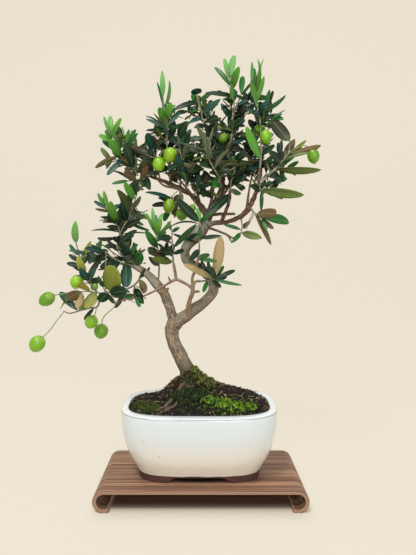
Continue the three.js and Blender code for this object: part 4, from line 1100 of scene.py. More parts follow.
# %% Routes of the limbs
LIMBS = {
    "trunk": [
        (-13, 2, 121, 16), (-14, 1, 135, 14), (-16, 0, 147, 12), (-18, 0, 159, 10.5),
        (-25, -1, 173, 10), (-31, -2, 186, 9.5), (-36, -3, 197, 9), (-38, -3, 206, 9.5),
        (-38, -3, 216, 9.5), (-34, -2, 225, 9.5),
    ],
    "cut_knot": [(-39, -3, 214, 8.5), (-44, -4, 215, 5.5), (-48, -4, 214, 3)],
    "left_bough": [
        (-34, -2, 222, 8), (-38, -3, 232, 7), (-41, -4, 243, 6.5), (-45, -5, 253, 6.5),
        (-49, -6, 263, 6.5), (-56, -8, 272, 6.5), (-67, -10, 285, 5.5), (-76, -12, 292, 4.5),
        (-85, -13, 297, 3.5), (-93, -12, 299, 2),
    ],
    "left_snag": [(-47, -9, 264, 3), (-42, -12, 270, 1.5)],
    "left_knob": [(-50, -9, 264, 4), (-55, -13, 265, 3)],
    "right_bough": [
        (-34, -2, 221, 9.5), (-30, -2, 225, 9), (-21, -1, 231, 8.5), (-8, 1, 241, 8), (3, 3, 248, 7.5),
        (11, 5, 256, 7), (17, 7, 264, 7), (17, 8, 272, 7), (14, 9, 280, 7), (6, 10, 290, 7),
        (-5, 9, 297, 7), (-16, 6, 303, 7), (-21, 2, 312, 6.5), (-20, -1, 322, 7), (-13, -3, 332, 8.5),
        (-4, -5, 341, 9.5), (4, -5, 350, 8), (8, -4, 361, 6.5),
    ],
    "top_bough": [
        (7, -4, 357, 6), (14, -3, 372, 5.5), (22, -3, 385, 5.5), (27, -3, 398, 5), (28, -2, 413, 4),
        (30, -2, 425, 2.5),
    ],
    "upper_left_bough": [
        (8, -3, 361, 5.5), (6, -2, 369, 4.5), (-1, 2, 380, 4), (-12, 6, 393, 3.5), (-24, 10, 401, 3.5),
        (-39, 13, 409, 3), (-56, 14, 416, 2.5), (-70, 14, 421, 2),
    ],
    "inner_bough": [(27, -10, 356, 3), (33, -13, 371, 2.5), (37, -16, 385, 2.5), (38, -18, 397, 2)],
    "right_branch": [
        (6, -5, 353, 4), (19, -10, 355, 3.5), (35, -16, 356, 3), (50, -22, 362, 3.5), (58, -25, 369, 4),
        (63, -27, 377, 3.5), (68, -28, 386, 3), (71, -28, 397, 2.5), (74, -26, 409, 2),
        (76, -24, 424, 2),
    ],
    "level_twig": [(15, -4, 367, 2.5), (29, -8, 367, 2), (45, -12, 367, 1.5)],
    "dead_twig": [
        (7, -8, 350, 3), (15, -13, 347, 2), (25, -18, 343, 1.8), (35, -21, 338, 1.6), (40, -22, 328, 1),
    ],
    "dead_fork": [(34, -21, 339, 1.5), (41, -24, 335, 1.2), (47, -26, 337, 0.9)],
    "centre_branch": [
        (-17, -5, 233, 4.5), (-16, -10, 246, 3.5), (-14, -12, 255, 3), (-11, -14, 263, 3),
        (-10, -16, 273, 2.5), (-6, -18, 279, 2), (0, -19, 279, 2),
    ],
    "long_thin": [
        (-11, -15, 270, 2.5), (-18, -16, 275, 2), (-26, -17, 279, 2), (-33, -18, 281, 2),
        (-46, -20, 274, 1.5), (-55, -21, 269, 1.5), (-74, -23, 260, 1), (-87, -24, 257, 1),
        (-98, -25, 256, 1), (-107, -26, 252, 1),
    ],
    "centre_up": [(-10, -16, 273, 2.5), (-11, -18, 283, 2), (-7, -20, 294, 2), (-4, -22, 307, 2)],
    "cut_stub": [(-32, -18, 281, 2), (-33, -19, 290, 2), (-35, -20, 301, 2)],
    "side_stub": [(-11, -15, 265, 2), (-2, -19, 266, 1.5)],
    "small_stub": [(-39, -19, 279, 1.5), (-42, -21, 285, 1)],
    "inner_twig_1": [(-12, 5, 393, 2), (-20, 4, 404, 1.6), (-33, 2, 420, 1.2), (-45, 0, 438, 0.9)],
    "inner_twig_2": [(-24, 9, 401, 2), (-38, 6, 404, 1.6), (-52, 4, 408, 1.3), (-66, 3, 424, 1)],
    "inner_twig_3": [(8, -3, 366, 2.5), (14, -7, 384, 2), (16, -8, 402, 1.5), (22, -9, 422, 1)],
    "inner_twig_4": [(22, -3, 385, 2.2), (34, -7, 398, 1.8), (41, -9, 418, 1.4), (47, -10, 440, 1)],
    "inner_twig_5": [(-1, 2, 380, 2.2), (-4, 2, 396, 1.8), (-3, 4, 418, 1.4), (-9, 5, 445, 1)],
    "inner_twig_6": [(28, -2, 408, 2.2), (20, 0, 426, 1.6), (12, 2, 448, 1.2), (8, 3, 470, 0.9)],
    "inner_twig_7": [(58, -25, 369, 2), (61, -21, 386, 1.6), (64, -15, 404, 1.3), (69, -10, 424, 1)],
    "inner_twig_8": [(-39, 13, 409, 2), (-44, 14, 422, 1.5), (-58, 16, 440, 1.1)],
}

# The routes that lie on the soil: roots that have come to the surface.
ROOTS = {
    "left_root": [
        (-17, -6, 150, 3.6), (-28, -15, 146, 2.8), (-38, -24, 141, 2.3), (-47, -31, 134, 1.9),
        (-55, -34, 129, 1.5), (-63, -38, 126, 1.0),
    ],
    "left_root_side": [
        (-24, -19, 146, 2.2), (-34, -31, 140, 1.7), (-45, -38, 132, 1.3), (-54, -40, 127, 0.8),
    ],
    "left_root_fork": [(-45, -29, 136, 1.6), (-44, -36, 131, 1.2), (-50, -41, 126, 0.8)],
    "back_root": [(-19, 6, 150, 3.4), (-34, 10, 143, 2.5), (-48, 12, 136, 1.8), (-60, 12, 131, 1.1)],
    "right_root": [(-4, 6, 150, 3.8), (12, 10, 142, 2.8), (28, 12, 138, 1.8), (42, 10, 134, 1.0)],
}
THIN = 2.6  # radius of the thickest twig that isn't fused with the trunk
print("Limbs:", len(LIMBS), "roots:", len(ROOTS))

# %% Wood
WOOD_VOXEL = 0.85
LIMB_STEPS = 6
ROOT_LIES = 0.8  # height of a root's middle over the soil, in shares of its radius
wood_routes = {**LIMBS, **ROOTS}


def is_thick(name):
    return max(point[3] for point in wood_routes[name]) > THIN


def laid(name):
    """The curved route of a limb; a root follows the surface of the soil."""
    route = [tuple(point) for point in through(wood_routes[name], LIMB_STEPS)]
    if name not in ROOTS:
        return route
    lying = []
    for x, y, _, radius in route:
        place = spot(x, y, 0)
        hit, _ = on_soil(place.x, place.y)
        if hit:
            lying.append((x, y, hit.z / MM + radius * ROOT_LIES, radius))
    return lying


curved = {name: laid(name) for name in wood_routes}
thick = tube("thick_wood", [curved[name] for name in wood_routes if is_thick(name)], 16)
finished(thick, "REMESH", mode="VOXEL", voxel_size=WOOD_VOXEL * MM)
finished(thick, "SMOOTH", factor=0.5, iterations=6)
thin = tube("thin_wood", [curved[name] for name in wood_routes if not is_thick(name)])
trunk = joined("trunk_and_boughs", [thick, thin])
print("Wood points:", len(trunk.data.vertices))

# %% Bark surface
# Depths in millimetres: furrows, the swelling of old limbs and the knobs of the crown's boughs.
FURROW_DEPTH, SWELL_DEPTH, KNOB_DEPTH = 0.5, 0.75, 1.3
KNOBBLY_FROM, KNOBBLY_RISE = 330, 40
WOUND_RADIUS = 3.5
# Sizes in millimetres, and how slowly the furrows' pattern changes along a limb.
FURROW_SIZE, SWELL_SIZE, KNOB_SIZES, SLOWLY = 2.6, 13, (8, 5, 3), 0.2
# Radii from which a limb is furrowed and knobbly in full.
FURROWED, KNOBBLY = 7, 4
NEIGHBOURS = 10
CUT_LIMBS = (
    "cut_knot", "left_snag", "left_knob", "dead_twig", "dead_fork", "cut_stub", "side_stub",
    "small_stub",
)
UP = Vector((0, 0, 1))


def tree_of(places):
    """A search tree for the nearest of these places."""
    tree = KDTree(len(places))
    for k, place in enumerate(places):
        tree.insert(place, k)
    tree.balance()
    return tree


limb_samples = []
for route in curved.values():
    run = 0
    for (*place, radius), (*following, _) in zip(route, route[1:]):
        step = Vector(following) - Vector(place)
        limb_samples.append((Vector(place), radius, run, step.normalized().rotation_difference(UP)))
        run += step.length
limb_tree = tree_of([spot(*sample[0]) for sample in limb_samples])
cut_ends = [spot(*curved[name][-1][:3]) for name in CUT_LIMBS]
grain, girth, wound = [], [], []
normals = [vertex.normal.copy() for vertex in trunk.data.vertices]
for vertex, normal in zip(trunk.data.vertices, normals):
    near = limb_tree.find_n(vertex.co, NEIGHBOURS)
    nearest = min(near, key=lambda found: found[2] - limb_samples[found[1]][1] * MM)[1]
    place, radius, run, upright = limb_samples[nearest]
    offset = (vertex.co - spot(*place)) / MM
    offset.rotate(upright)
    along = Vector((offset.x, offset.y, (run + offset.z) * SLOWLY))
    furrow = 0.8 * lumps.fractal(along / FURROW_SIZE, 0.8, 2.1, 3) - 0.4
    swell = lumps.noise(Vector((offset.x, offset.y, run + offset.z)) / SWELL_SIZE)
    wide, round_limb, small = KNOB_SIZES
    knob = lumps.noise(place / wide + offset / round_limb) + 0.6 * lumps.noise((place + offset) / small)
    old = min(1, radius / FURROWED)
    knobbly = max(0, min(1, (place.z - KNOBBLY_FROM) / KNOBBLY_RISE)) * min(1, radius / KNOBBLY)
    height = old * (FURROW_DEPTH * furrow + SWELL_DEPTH * swell) + knobbly * KNOB_DEPTH * knob
    vertex.co += normal * height * MM
    grain.append(along)
    girth.append(radius)
    wound.append(max(0, 1 - min((vertex.co - end).length for end in cut_ends) / (WOUND_RADIUS * MM)))
kept(trunk.data, "grain", "FLOAT_VECTOR", "vector", grain)
kept(trunk.data, "girth", "FLOAT", "value", girth)
kept(trunk.data, "wound", "FLOAT", "value", wound)
smoothed(trunk, 180)
print("Bark is furrowed on", len(limb_samples), "stretches of limb")

# %% [markdown]
# The low trunk is grey and streaked along its grain, and brown at its foot. Shade is painted into
# the bark as brown under the boughs, down the left of the low trunk and on the right of the limbs
# higher up, and light is painted in as pale grey on the bend and on the tops of thin limbs. Higher
# up the bark is dark brown. Thin limbs are rosy, and cut ends are orange.

# %% Bark finish
bark = Finish("olive_bark")
bark_grain = bark.stored("grain", "Vector")
bark_girth = bark.stored("girth", "Fac")
_, _, bark_z = bark.split(bark.here)
bark_z = bark_z * (1 / MM)
faces_right, _, faces_up = bark.facing()


def along_bark(scale, detail, roughness=0.6):
    sizes = {"Vector": bark_grain, "Scale": scale, "Detail": detail, "Roughness": roughness}
    return bark.node("ShaderNodeTexNoise", {}, sizes)


fissures = along_bark(0.55, 5)
streaky = along_bark(1.8, 4)
patches = bark.noise(52, 4)
blotches = bark.noise(140, 4, roughness=0.65)
speckle = bark.noise(620, 4, roughness=0.7)
old_bark = bark.ramp(
    0.3 * fissures + 0.3 * streaky + 0.2 * blotches + 0.2 * speckle,
    (0.42, (72, 56, 43)), (0.475, (112, 96, 77)), (0.525, (138, 125, 104)), (0.585, (190, 176, 154)),
)
# Painted light: the bend is made pale grey on the side that doesn't face right.
bend = bark_z.over(258, 280) * (1 - faces_right.over(-0.1, 0.5)) * 0.55
# Painted shade: the low trunk is made brown on its left side.
low_left = (1 - bark_z.over(196, 236)) * (-1 * faces_right).over(0.2, 0.9) * 0.6
old_bark = bark.washed(
    old_bark,
    (patches.over(0.5, 0.6) * 0.5, (112, 118, 94)),
    (blotches.over(0.54, 0.64) * 0.4, (120, 84, 56)),
    (bend, (176, 178, 168)),
    (low_left, (116, 86, 62)),
)
brown_bark = bark.ramp(
    0.3 * fissures + 0.3 * streaky + 0.4 * speckle,
    (0.42, (26, 17, 12)), (0.5, (74, 50, 35)), (0.58, (128, 98, 74)),
)
twig_bark = bark.ramp(
    0.5 * blotches + 0.5 * streaky, (0.4, (84, 58, 42)), (0.5, (132, 104, 84)), (0.62, (176, 158, 142)),
)
twig_bark = bark.washed(
    twig_bark,
    # Painted light: the tops of thin limbs are made pale.
    (faces_up.over(0.2, 0.9) * 0.5, (186, 178, 168)),
    (bark_z.over(300, 340) * 0.6, (86, 62, 48)),
)
# Higher up the bark is brown; above the bend its right side is also browned as painted shade.
browning_and_painted_shade = bark_z.over(346, 370) * 0.95 + faces_right.over(0.1, 0.7) * bark_z.over(310, 335) * 0.8
thin_browning = (1 - bark_girth.over(2, 4.5)) * bark_z.over(290, 330)
browning_and_painted_shade = browning_and_painted_shade.maths("MINIMUM", browning_and_painted_shade + thin_browning, 1)
rosy = (1 - bark_girth.over(3, 4.8)) * (1 - bark_z.over(290, 330)) * 0.55
rosy = rosy * (1 - faces_up.over(0.1, 0.8))
bark_colour = bark.washed(bark.blend(browning_and_painted_shade, old_bark, brown_bark), (rosy, (136, 98, 72)))
bark_colour = bark.washed(
    bark.blend(1 - bark_girth.over(1.6, 2.6), bark_colour, twig_bark),
    # Painted shade: brown on the undersides of the limbs.
    ((1 - (faces_up + 0.5 * speckle).over(-0.6, 0.2)) * 0.8, (98, 66, 43)),
    ((1 - (bark_z + 14 * patches).over(166, 188)) * 0.75, (82, 60, 43)),
    (bark.stored("wound", "Fac").over(0.3, 0.9) * 0.8, (184, 124, 78)),
)
bark_finish = bark.paint(
    base_color=bark_colour,
    roughness=0.72 + 0.2 * streaky,
    normal=bark.relief(fissures * 0.5 + streaky * 0.3 + blotches * 0.4 + speckle * 0.3, 0.6, 0.7),
)
trunk.data.materials.append(bark_finish)
settled(trunk, "trunk")

# %% [markdown]
# ## The moss
#
# Moss grows in low cushions. Each patch of cushions is modelled from flattened balls, fused by a
# remesh and roughened, and then covered with tufts: little stars of pointed blades, modelled a few
# times and set on the cushion by hundreds. Around a patch, single tufts thin out over the soil, and
# two patches climb the foot of the trunk.

# %% Moss patches
MOSS_VOXEL = 1.2
MOSS_FLATNESS = 0.45
MOSS_LUMPS = (5, 4)  # size and strength in millimetres
# Angle in plan round the pot in degrees, share of the way to the wall, and radius in millimetres.
MOSS_ON_SOIL = {
    "moss_right": [
        (-84, 0.55, 7), (-78, 0.6, 9), (-70, 0.7, 12), (-72, 0.86, 6), (-61, 0.8, 9), (-57, 0.9, 6),
        (-45, 0.87, 8),
    ],
    "moss_left": [(-168, 0.84, 9), (-152, 0.79, 10), (-140, 0.78, 11), (-126, 0.81, 9)],
    "moss_front": [(-108, 0.44, 11), (-97, 0.41, 11), (-90, 0.47, 10), (-84, 0.42, 10), (-96, 0.56, 9)],
}
# Balls round which moss climbs the trunk: middle and radius in millimetres.
MOSS_ON_TRUNK = [(-8, -8, 161, 4.5), (-3, -8, 154, 6), (3, -8, 148, 7), (11, -10, 143, 7.5)]
DARK_MOSS_ON_TRUNK = [(-17, -9, 153, 7), (-12, -13, 150, 8), (-22, -8, 148, 6)]


def cushion_places(node):
    if node == "moss_trunk":
        return [(spot(x, y, z), radius, 1) for x, y, z, radius in MOSS_ON_TRUNK]
    places = []
    for turn, share, radius in MOSS_ON_SOIL[node]:
        flat = soil_point(math.radians(turn), share)
        places.append((on_soil(flat.x, flat.y)[0], radius, MOSS_FLATNESS))
    return places


def moss_bed(node):
    """The cushions of a patch, fused and roughened."""
    balls = [
        modelled(
            "moss_ball", bpy.ops.mesh.primitive_uv_sphere_add, segments=24, ring_count=12,
            radius=radius * MM, location=place, scale=(1, 1, flatness),
        )
        for place, radius, flatness in cushion_places(node)
    ]
    bed = joined(f"{node}_bed", balls)
    finished(bed, "REMESH", mode="VOXEL", voxel_size=MOSS_VOXEL * MM)
    displaced(bed, f"{node}_lumps", *MOSS_LUMPS)
    return smoothed(bed, 180)


print("Moss patches:", len(MOSS_ON_SOIL) + 1)

# %% Moss tufts
BLADES = 5
TUFTS_PER_CM2 = 80
TUFT_SIZE = (1.3, 3.4)  # millimetres
TUFT_LEAN = 0.35
BLADE_LEAN, BLADE_TURN, BLADE_LENGTH, BLADE_RADIUS = (0.15, 0.75), (-0.3, 0.3), (0.7, 1.2), 0.13
# How much a tuft follows the cushion's face, and how much it grows up to the light.
FOLLOWS, RISES = 0.7, 0.4
MOSS_VARIES = 0.4
CM2_PER_M2 = 1e4
GAPS = 4.5  # size of the bare gaps in a cushion, in millimetres
STEEPEST = -0.35
TRUNK_REACH = 1.5
LOOSE_TUFTS = 420
LOOSE_REACH = (0.8, 2.1)
LOOSE_TOP = RIM_Z + 36
MOSS_TINTS = {
    "moss_right": [srgb(122, 172, 24), srgb(80, 130, 18), srgb(168, 196, 56), srgb(36, 66, 12)],
    "moss_left": [srgb(74, 90, 26), srgb(40, 56, 18), srgb(116, 116, 54), srgb(52, 84, 20)],
    "moss_front": [srgb(28, 46, 22), srgb(44, 66, 26), srgb(18, 30, 16), srgb(80, 104, 34)],
    "moss_trunk": [srgb(128, 134, 48), srgb(92, 104, 34), srgb(152, 150, 76), srgb(52, 64, 24)],
}


def tuft_pattern(seed):
    """A star of pointed blades, one millimetre long, that grows along +Z."""
    dice = random.Random(seed)
    blades = []
    for k in range(BLADES):
        lean = dice.uniform(*BLADE_LEAN)
        turn = 2 * math.pi * (k + dice.uniform(*BLADE_TURN)) / BLADES
        out, up = math.sin(lean), math.cos(lean)
        along = Vector((out * math.cos(turn), out * math.sin(turn), up))
        length = dice.uniform(*BLADE_LENGTH)
        blade = modelled(
            "blade", bpy.ops.mesh.primitive_cone_add, vertices=3, radius1=BLADE_RADIUS, radius2=0,
            depth=length, end_fill_type="NOTHING",
        )
        blade.data.transform(Matrix.Translation((0, 0, length / 2)))
        blade.data.transform(UP.rotation_difference(along).to_matrix().to_4x4())
        blades.append(blade)
    return Pattern(joined("tuft", blades))


tufts = [tuft_pattern(seed) for seed in range(6)]
moss_dice = random.Random(11)


def tuft_copy(place, normal, tints):
    size = moss_dice.uniform(*TUFT_SIZE) * MM
    lean = Vector([moss_dice.uniform(-TUFT_LEAN, TUFT_LEAN) for _ in range(3)])
    face = (normal * FOLLOWS + UP * RISES + lean).normalized()
    along = level(moss_dice.uniform(0, 2 * math.pi), 0.01)
    matrix = place_matrix(place, along, face, (size, size, size))
    tint = varied(moss_dice.choice(tints), moss_dice, MOSS_VARIES)
    return moss_dice.choice(tufts), matrix, tint, tint


def face_places(mesh, wanted):
    """Random places on the faces of a mesh, as many to a square centimetre as there are tufts."""
    for face in mesh.polygons:
        number = face.area * CM2_PER_M2 * TUFTS_PER_CM2
        for _ in range(int(number) + (moss_dice.random() < number % 1)):
            if wanted(face.center, face.normal):
                yield face.center, face.normal


def grows(place, normal):
    """Whether a tuft grows here on a cushion: not under it, nor in one of its gaps."""
    return normal.z > STEEPEST and lumps.noise(place / (GAPS * MM)) > moss_dice.uniform(-0.5, 0)


def growing_places(node, bed):
    """Where the tufts of a patch grow: on its bed, up the trunk, and loose on the soil round it."""
    yield from face_places(bed.data, grows)
    climbing = {"moss_trunk": (MOSS_ON_TRUNK, TRUNK_REACH), "moss_front": (DARK_MOSS_ON_TRUNK, 1)}
    if node in climbing:
        balls, reach = climbing[node]
        balls = [(spot(x, y, z), radius * reach * MM) for x, y, z, radius in balls]
        yield from face_places(
            trunk.data, lambda place, _: any((place - middle).length < size for middle, size in balls)
        )
    if node in MOSS_ON_SOIL:
        cushions = cushion_places(node)
        for _ in range(LOOSE_TUFTS):
            middle, radius, _ = moss_dice.choice(cushions)
            turn, out = moss_dice.uniform(0, 2 * math.pi), radius * moss_dice.uniform(*LOOSE_REACH) * MM
            hit, normal = on_soil(middle.x + out * math.cos(turn), middle.y + out * math.sin(turn))
            if hit and hit.z < LOOSE_TOP * MM and soil_covers(hit):
                yield hit, normal


print("Tufts:", len(tufts), "kinds")

# %% Moss pieces
moss_green = Finish("moss_green")
moss_fine = moss_green.noise(900, 3)
moss_finish = moss_green.paint(
    base_color=moss_green.shade(moss_green.stored("tint"), 0.75 + 0.5 * moss_fine),
    roughness=0.75 + 0.15 * moss_fine,
    normal=moss_green.relief(moss_fine, 0.3, 0.5),
)
moss_mat = Finish("moss_mat")
mat_noise = moss_mat.noise(420, 4)
mat_finish = moss_mat.paint(
    base_color=moss_mat.ramp(mat_noise, (0.3, (12, 16, 8)), (0.55, (28, 38, 14)), (0.8, (56, 70, 24))),
    roughness=0.85 + 0.1 * mat_noise,
    normal=moss_mat.relief(mat_noise, 0.5, 0.8),
)
for node, tints in MOSS_TINTS.items():
    bed = moss_bed(node)
    places = list(growing_places(node, bed))
    cover = copied(f"{node}_tufts", [tuft_copy(*place, tints) for place in places], smooth=False)
    bed.data.materials.append(mat_finish)
    cover.data.materials.append(moss_finish)
    settled(joined(f"{node}_cushion", [bed, cover]), node)

# %% [markdown]
# ## The olives
#
# The fruit hangs on thin stalks. It is an egg shape with the broad end up, a small point at the
# tip, and pale dots in the skin. One fruit is modelled from a sphere, and each olive is a copy of
# it, stretched to its own size and turned to hang from its stalk, with the stalk joined on.

# %% Routes of the olives
# Points of the stalk, middle of the fruit, its width and its length.
OLIVES = {
    "low_left": ([
        (-169, -43, 243), (-177, -44, 233), (-184, -45, 223), (-191, -46, 215), (-198, -46, 210),
    ], (-201, -46, 204), 19, 21),
    "far_left": ([
        (-152, -34, 267), (-166, -36, 266), (-176, -37, 264), (-184, -38, 263),
    ], (-192, -38, 258), 17, 21),
    "behind_left": ([(-147, -28, 288), (-153, -24, 289), (-158, -20, 285)], (-160, -20, 278), 17, 18),
    "small_left": ([
        (-123, -17, 316), (-123, -19, 301), (-125, -20, 289), (-132, -22, 277),
    ], (-137, -22, 272), 10, 10),
    "pad_middle": ([(-136, -37, 248), (-141, -33, 254), (-148, -30, 255)], (-150, -30, 250), 13, 15),
    "pad_low": ([(-131, -36, 248), (-131, -38, 242), (-133, -40, 236)], (-136, -40, 230), 16, 17),
    "thin_branch": ([
        (-107, -26, 252), (-113, -26, 244), (-119, -27, 239), (-125, -27, 232), (-126, -27, 224),
    ], (-127, -27, 216), 18, 19),
    "upper_left": ([(-26, -16, 443), (-30, -18, 450), (-36, -17, 449)], (-40, -16, 443), 18, 20),
    "upper_left_low": ([(-45, 0, 453), (-50, -6, 451), (-54, -11, 442)], (-55, -12, 432), 17, 20),
    "hanging": ([(-20, 9, 403), (-31, 6, 399), (-37, 4, 394), (-42, 4, 387)], (-43, 4, 379), 16, 20),
    "behind_leaf": ([(-28, 2, 396), (-25, -2, 388), (-24, -4, 375)], (-25, -4, 367), 16, 17),
    "pale": ([(-8, 4, 388), (-8, -4, 383), (-10, -6, 379)], (-11, -6, 375), 9, 11),
    "right_top": ([(78, -12, 481), (82, -17, 480), (84, -20, 473)], (84, -20, 465), 15, 19),
    "right_behind": ([(77, -9, 492), (80, -5, 493), (79, -2, 486)], (78, -2, 478), 16, 17),
    "far_right": ([
        (116, -35, 445), (127, -36, 450), (136, -36, 448), (140, -36, 445),
    ], (141, -36, 437), 15, 19),
    "top_middle": ([(41, -6, 469), (36, -9, 472), (32, -12, 471)], (29, -12, 466), 12, 13),
}
print("Olives:", len(OLIVES))

# %% Olive fruit
FRONT = Vector((0, -1, 0.2)).normalized()
# Radius in millimetres, then in shares of it where the stalk leaves its twig and meets the fruit.
STALK_RADIUS, STALK_START, STALK_END = 0.7, 0.8, 1.9
STALK_REACH = 0.47
# How the fruit narrows to its tip and to both ends, and where and how far its tip draws out to a
# point and its stalk end draws in to a dimple.
TAPER, ROUNDING = 0.05, 0.03
TIP_FROM, TIP_OUT, DIMPLE_FROM, DIMPLE_IN = 0.95, 0.9, 0.93, 1.6
# How much darker the olives are that hang in the shade of the crown.
IN_SHADE = {"hanging": 0.6, "far_right": 0.95}
RIPE = [srgb(134, 184, 18), srgb(116, 168, 14), srgb(150, 194, 28), srgb(94, 146, 16)]


def fruit_pattern():
    """An olive two units long, with a dimple for its stalk at -X and a small point at +X."""
    fruit = modelled(
        "fruit", bpy.ops.mesh.primitive_uv_sphere_add, segments=24, ring_count=16, radius=1,
        rotation=(0, math.pi / 2, 0),
    )
    for vertex in fruit.data.vertices:
        along = vertex.co.x
        vertex.co.yz *= 1 - TAPER * along - ROUNDING * along**2
        if along > TIP_FROM:
            vertex.co.x += (along - TIP_FROM) * TIP_OUT
        if along < -DIMPLE_FROM:
            vertex.co.x -= (along + DIMPLE_FROM) * DIMPLE_IN
    return fruit


olive = Finish("olive_skin")
olive_end = olive.stored("hang", "Fac")
skin = olive.noise(160, 3)
dots = olive.node("ShaderNodeTexVoronoi", {}, {"Vector": olive.here, "Scale": 520}, "Distance")
dots = 1 - dots.over(0.1, 0.2)
skin_colour = olive.washed(
    olive.shade(olive.stored("tint"), 0.86 + 0.28 * skin),
    (dots * 0.4, (206, 222, 142)),
    ((1 - olive_end.over(0.02, 0.3)) * 0.5, (176, 208, 96)),
    (olive_end.over(0.94, 0.985), (86, 70, 34)),
)
skin_finish = olive.paint(
    base_color=skin_colour,
    roughness=0.3 + 0.14 * skin,
    coat_weight=0.15,
    normal=olive.relief(skin * 0.5 - dots * 0.3, 0.2, 0.4),
)
stalk = Finish("fruit_stalk")
stalk_noise = stalk.noise(320, 3)
stalk_finish = stalk.paint(
    base_color=stalk.ramp(
        stalk_noise, (0.3, (104, 122, 62)), (0.6, (140, 160, 84)), (0.8, (164, 160, 112)),
    ),
    roughness=0.55 + 0.2 * stalk_noise,
    normal=stalk.relief(stalk_noise, 0.2, 0.4),
)
fruit_dice = random.Random(3)
for name, (stalk_points, centre, width, length) in OLIVES.items():
    node, centre = f"olive_{name}", Vector(centre)
    hang = (centre - Vector(stalk_points[-1])).normalized()
    fruit = fruit_pattern()
    share = [(vertex.co.x + 1) / 2 for vertex in fruit.data.vertices]
    sizes = (length / 2 * MM, width / 2 * MM, width / 2 * MM)
    fruit.data.transform(place_matrix(spot(*centre), hang, FRONT, sizes))
    tint = np.array((*varied(fruit_dice.choice(RIPE), fruit_dice, 0.1), 1))
    tint[:3] *= IN_SHADE.get(name, 1)
    kept(fruit.data, "hang", "FLOAT", "value", share)
    kept(fruit.data, "tint", "FLOAT_COLOR", "color", np.tile(tint, (len(share), 1)))
    fruit.data.materials.append(skin_finish)
    smoothed(fruit, 180)
    route = through([*stalk_points, centre - hang * length * STALK_REACH], 4)
    radii = np.linspace(STALK_RADIUS * STALK_START, STALK_RADIUS, len(route))
    radii[-1] = STALK_RADIUS * STALK_END
    stem = tube(f"{node}_stalk", [[(*point, radius) for point, radius in zip(route, radii)]])
    stem.data.materials.append(stalk_finish)
    smoothed(stem, 60)
    settled(joined(f"{node}_fruit", [fruit, stem]), node)

# %% [markdown]
# ## Leaves
#
# An olive leaf is a stiff narrow blade: dark and waxy above, pale and scaly below, with one clear
# midrib. Leaves that have just opened are light green all over. A blade is modelled from a grid:
# its rows are drawn in to the outline of a leaf, folded a little along the midrib, arched, twisted,
# and given thickness. A few such blades with different outlines serve all the twigs.

# %% Leaf blades
LEAF_ROWS = (0, 0.05, 0.13, 0.26, 0.41, 0.56, 0.71, 0.85, 0.94, 1)
LEAF_ACROSS = 4
LEAF_THICKNESS = 0.011
PETIOLE, PETIOLE_HALF = 0.07, 0.055  # length and half width of the leaf's stalk
# Share of its length about which a blade twists, and how much of the twist lifts its sides.
TWIST_ABOUT, TWIST_LIFT = 0.3, 0.22
FOLD_POWER = 1.3
# Outline: how slowly the width grows from the base and shrinks to the tip. Then how far the blade
# arches and folds, in shares of its length, and how far it twists, in degrees.
BLADES_LIKE = [
    (0.52, 0.58, 0.07, 0.035, 8), (0.5, 0.6, -0.05, 0.03, -12), (0.6, 0.55, 0.11, 0.03, 15),
    (0.45, 0.5, 0.04, 0.025, -6), (0.55, 0.65, -0.08, 0.045, 10), (0.58, 0.7, 0.02, 0.04, -18),
    (0.55, 0.5, 0.13, 0.02, 5), (0.62, 0.6, 0.05, 0.05, 22),
]
ROUND_BLADES_LIKE = [(0.42, 0.4, 0.03, 0.02, 4), (0.4, 0.44, -0.03, 0.03, -6)]


def leaf_half_width(share, rise, fall):
    """Half the width of a leaf at a share of its length, in shares of its greatest width."""
    if share <= PETIOLE:
        return PETIOLE_HALF
    t = (share - PETIOLE) / (1 - PETIOLE)
    widest = rise / (rise + fall)
    peak = widest**rise * (1 - widest) ** fall
    return max(0.5 * t**rise * (1 - t) ** fall / peak, PETIOLE_HALF * (1 - t))


def leaf_pattern(rise, fall, arch, fold, twist):
    blade = modelled(
        "leaf_blade", bpy.ops.mesh.primitive_grid_add, x_subdivisions=len(LEAF_ROWS) - 1,
        y_subdivisions=LEAF_ACROSS, size=1, calc_uvs=True,
    )
    for vertex in blade.data.vertices:
        row = round((vertex.co.x + 0.5) * (len(LEAF_ROWS) - 1))
        share, across = LEAF_ROWS[row], vertex.co.y * 2
        half = leaf_half_width(share, rise, fall)
        turn = math.radians(twist) * (share - TWIST_ABOUT)
        side = across * half
        up = fold * abs(across) ** FOLD_POWER * half * 2
        vertex.co = Vector((
            share, side * math.cos(turn) - up * math.sin(turn),
            up * math.cos(turn) + side * TWIST_LIFT * math.sin(turn) + arch * 4 * share * (1 - share),
        ))
    for flat in blade.data.uv_layers.active.data:
        flat.uv.x = LEAF_ROWS[round(flat.uv.x * (len(LEAF_ROWS) - 1))]
    upper = len(blade.data.vertices)
    finished(blade, "SOLIDIFY", thickness=LEAF_THICKNESS, offset=-1)
    lower = len(blade.data.vertices) - upper
    kept(blade.data, "upper", "FLOAT", "value", [1] * upper + [0] * lower)
    return Pattern(blade)


leaf_blades = [leaf_pattern(*shape) for shape in BLADES_LIKE]
round_blades = [leaf_pattern(*shape) for shape in ROUND_BLADES_LIKE]
print("Leaf blades:", len(leaf_blades), "with", len(leaf_blades[0].starts), "faces each")

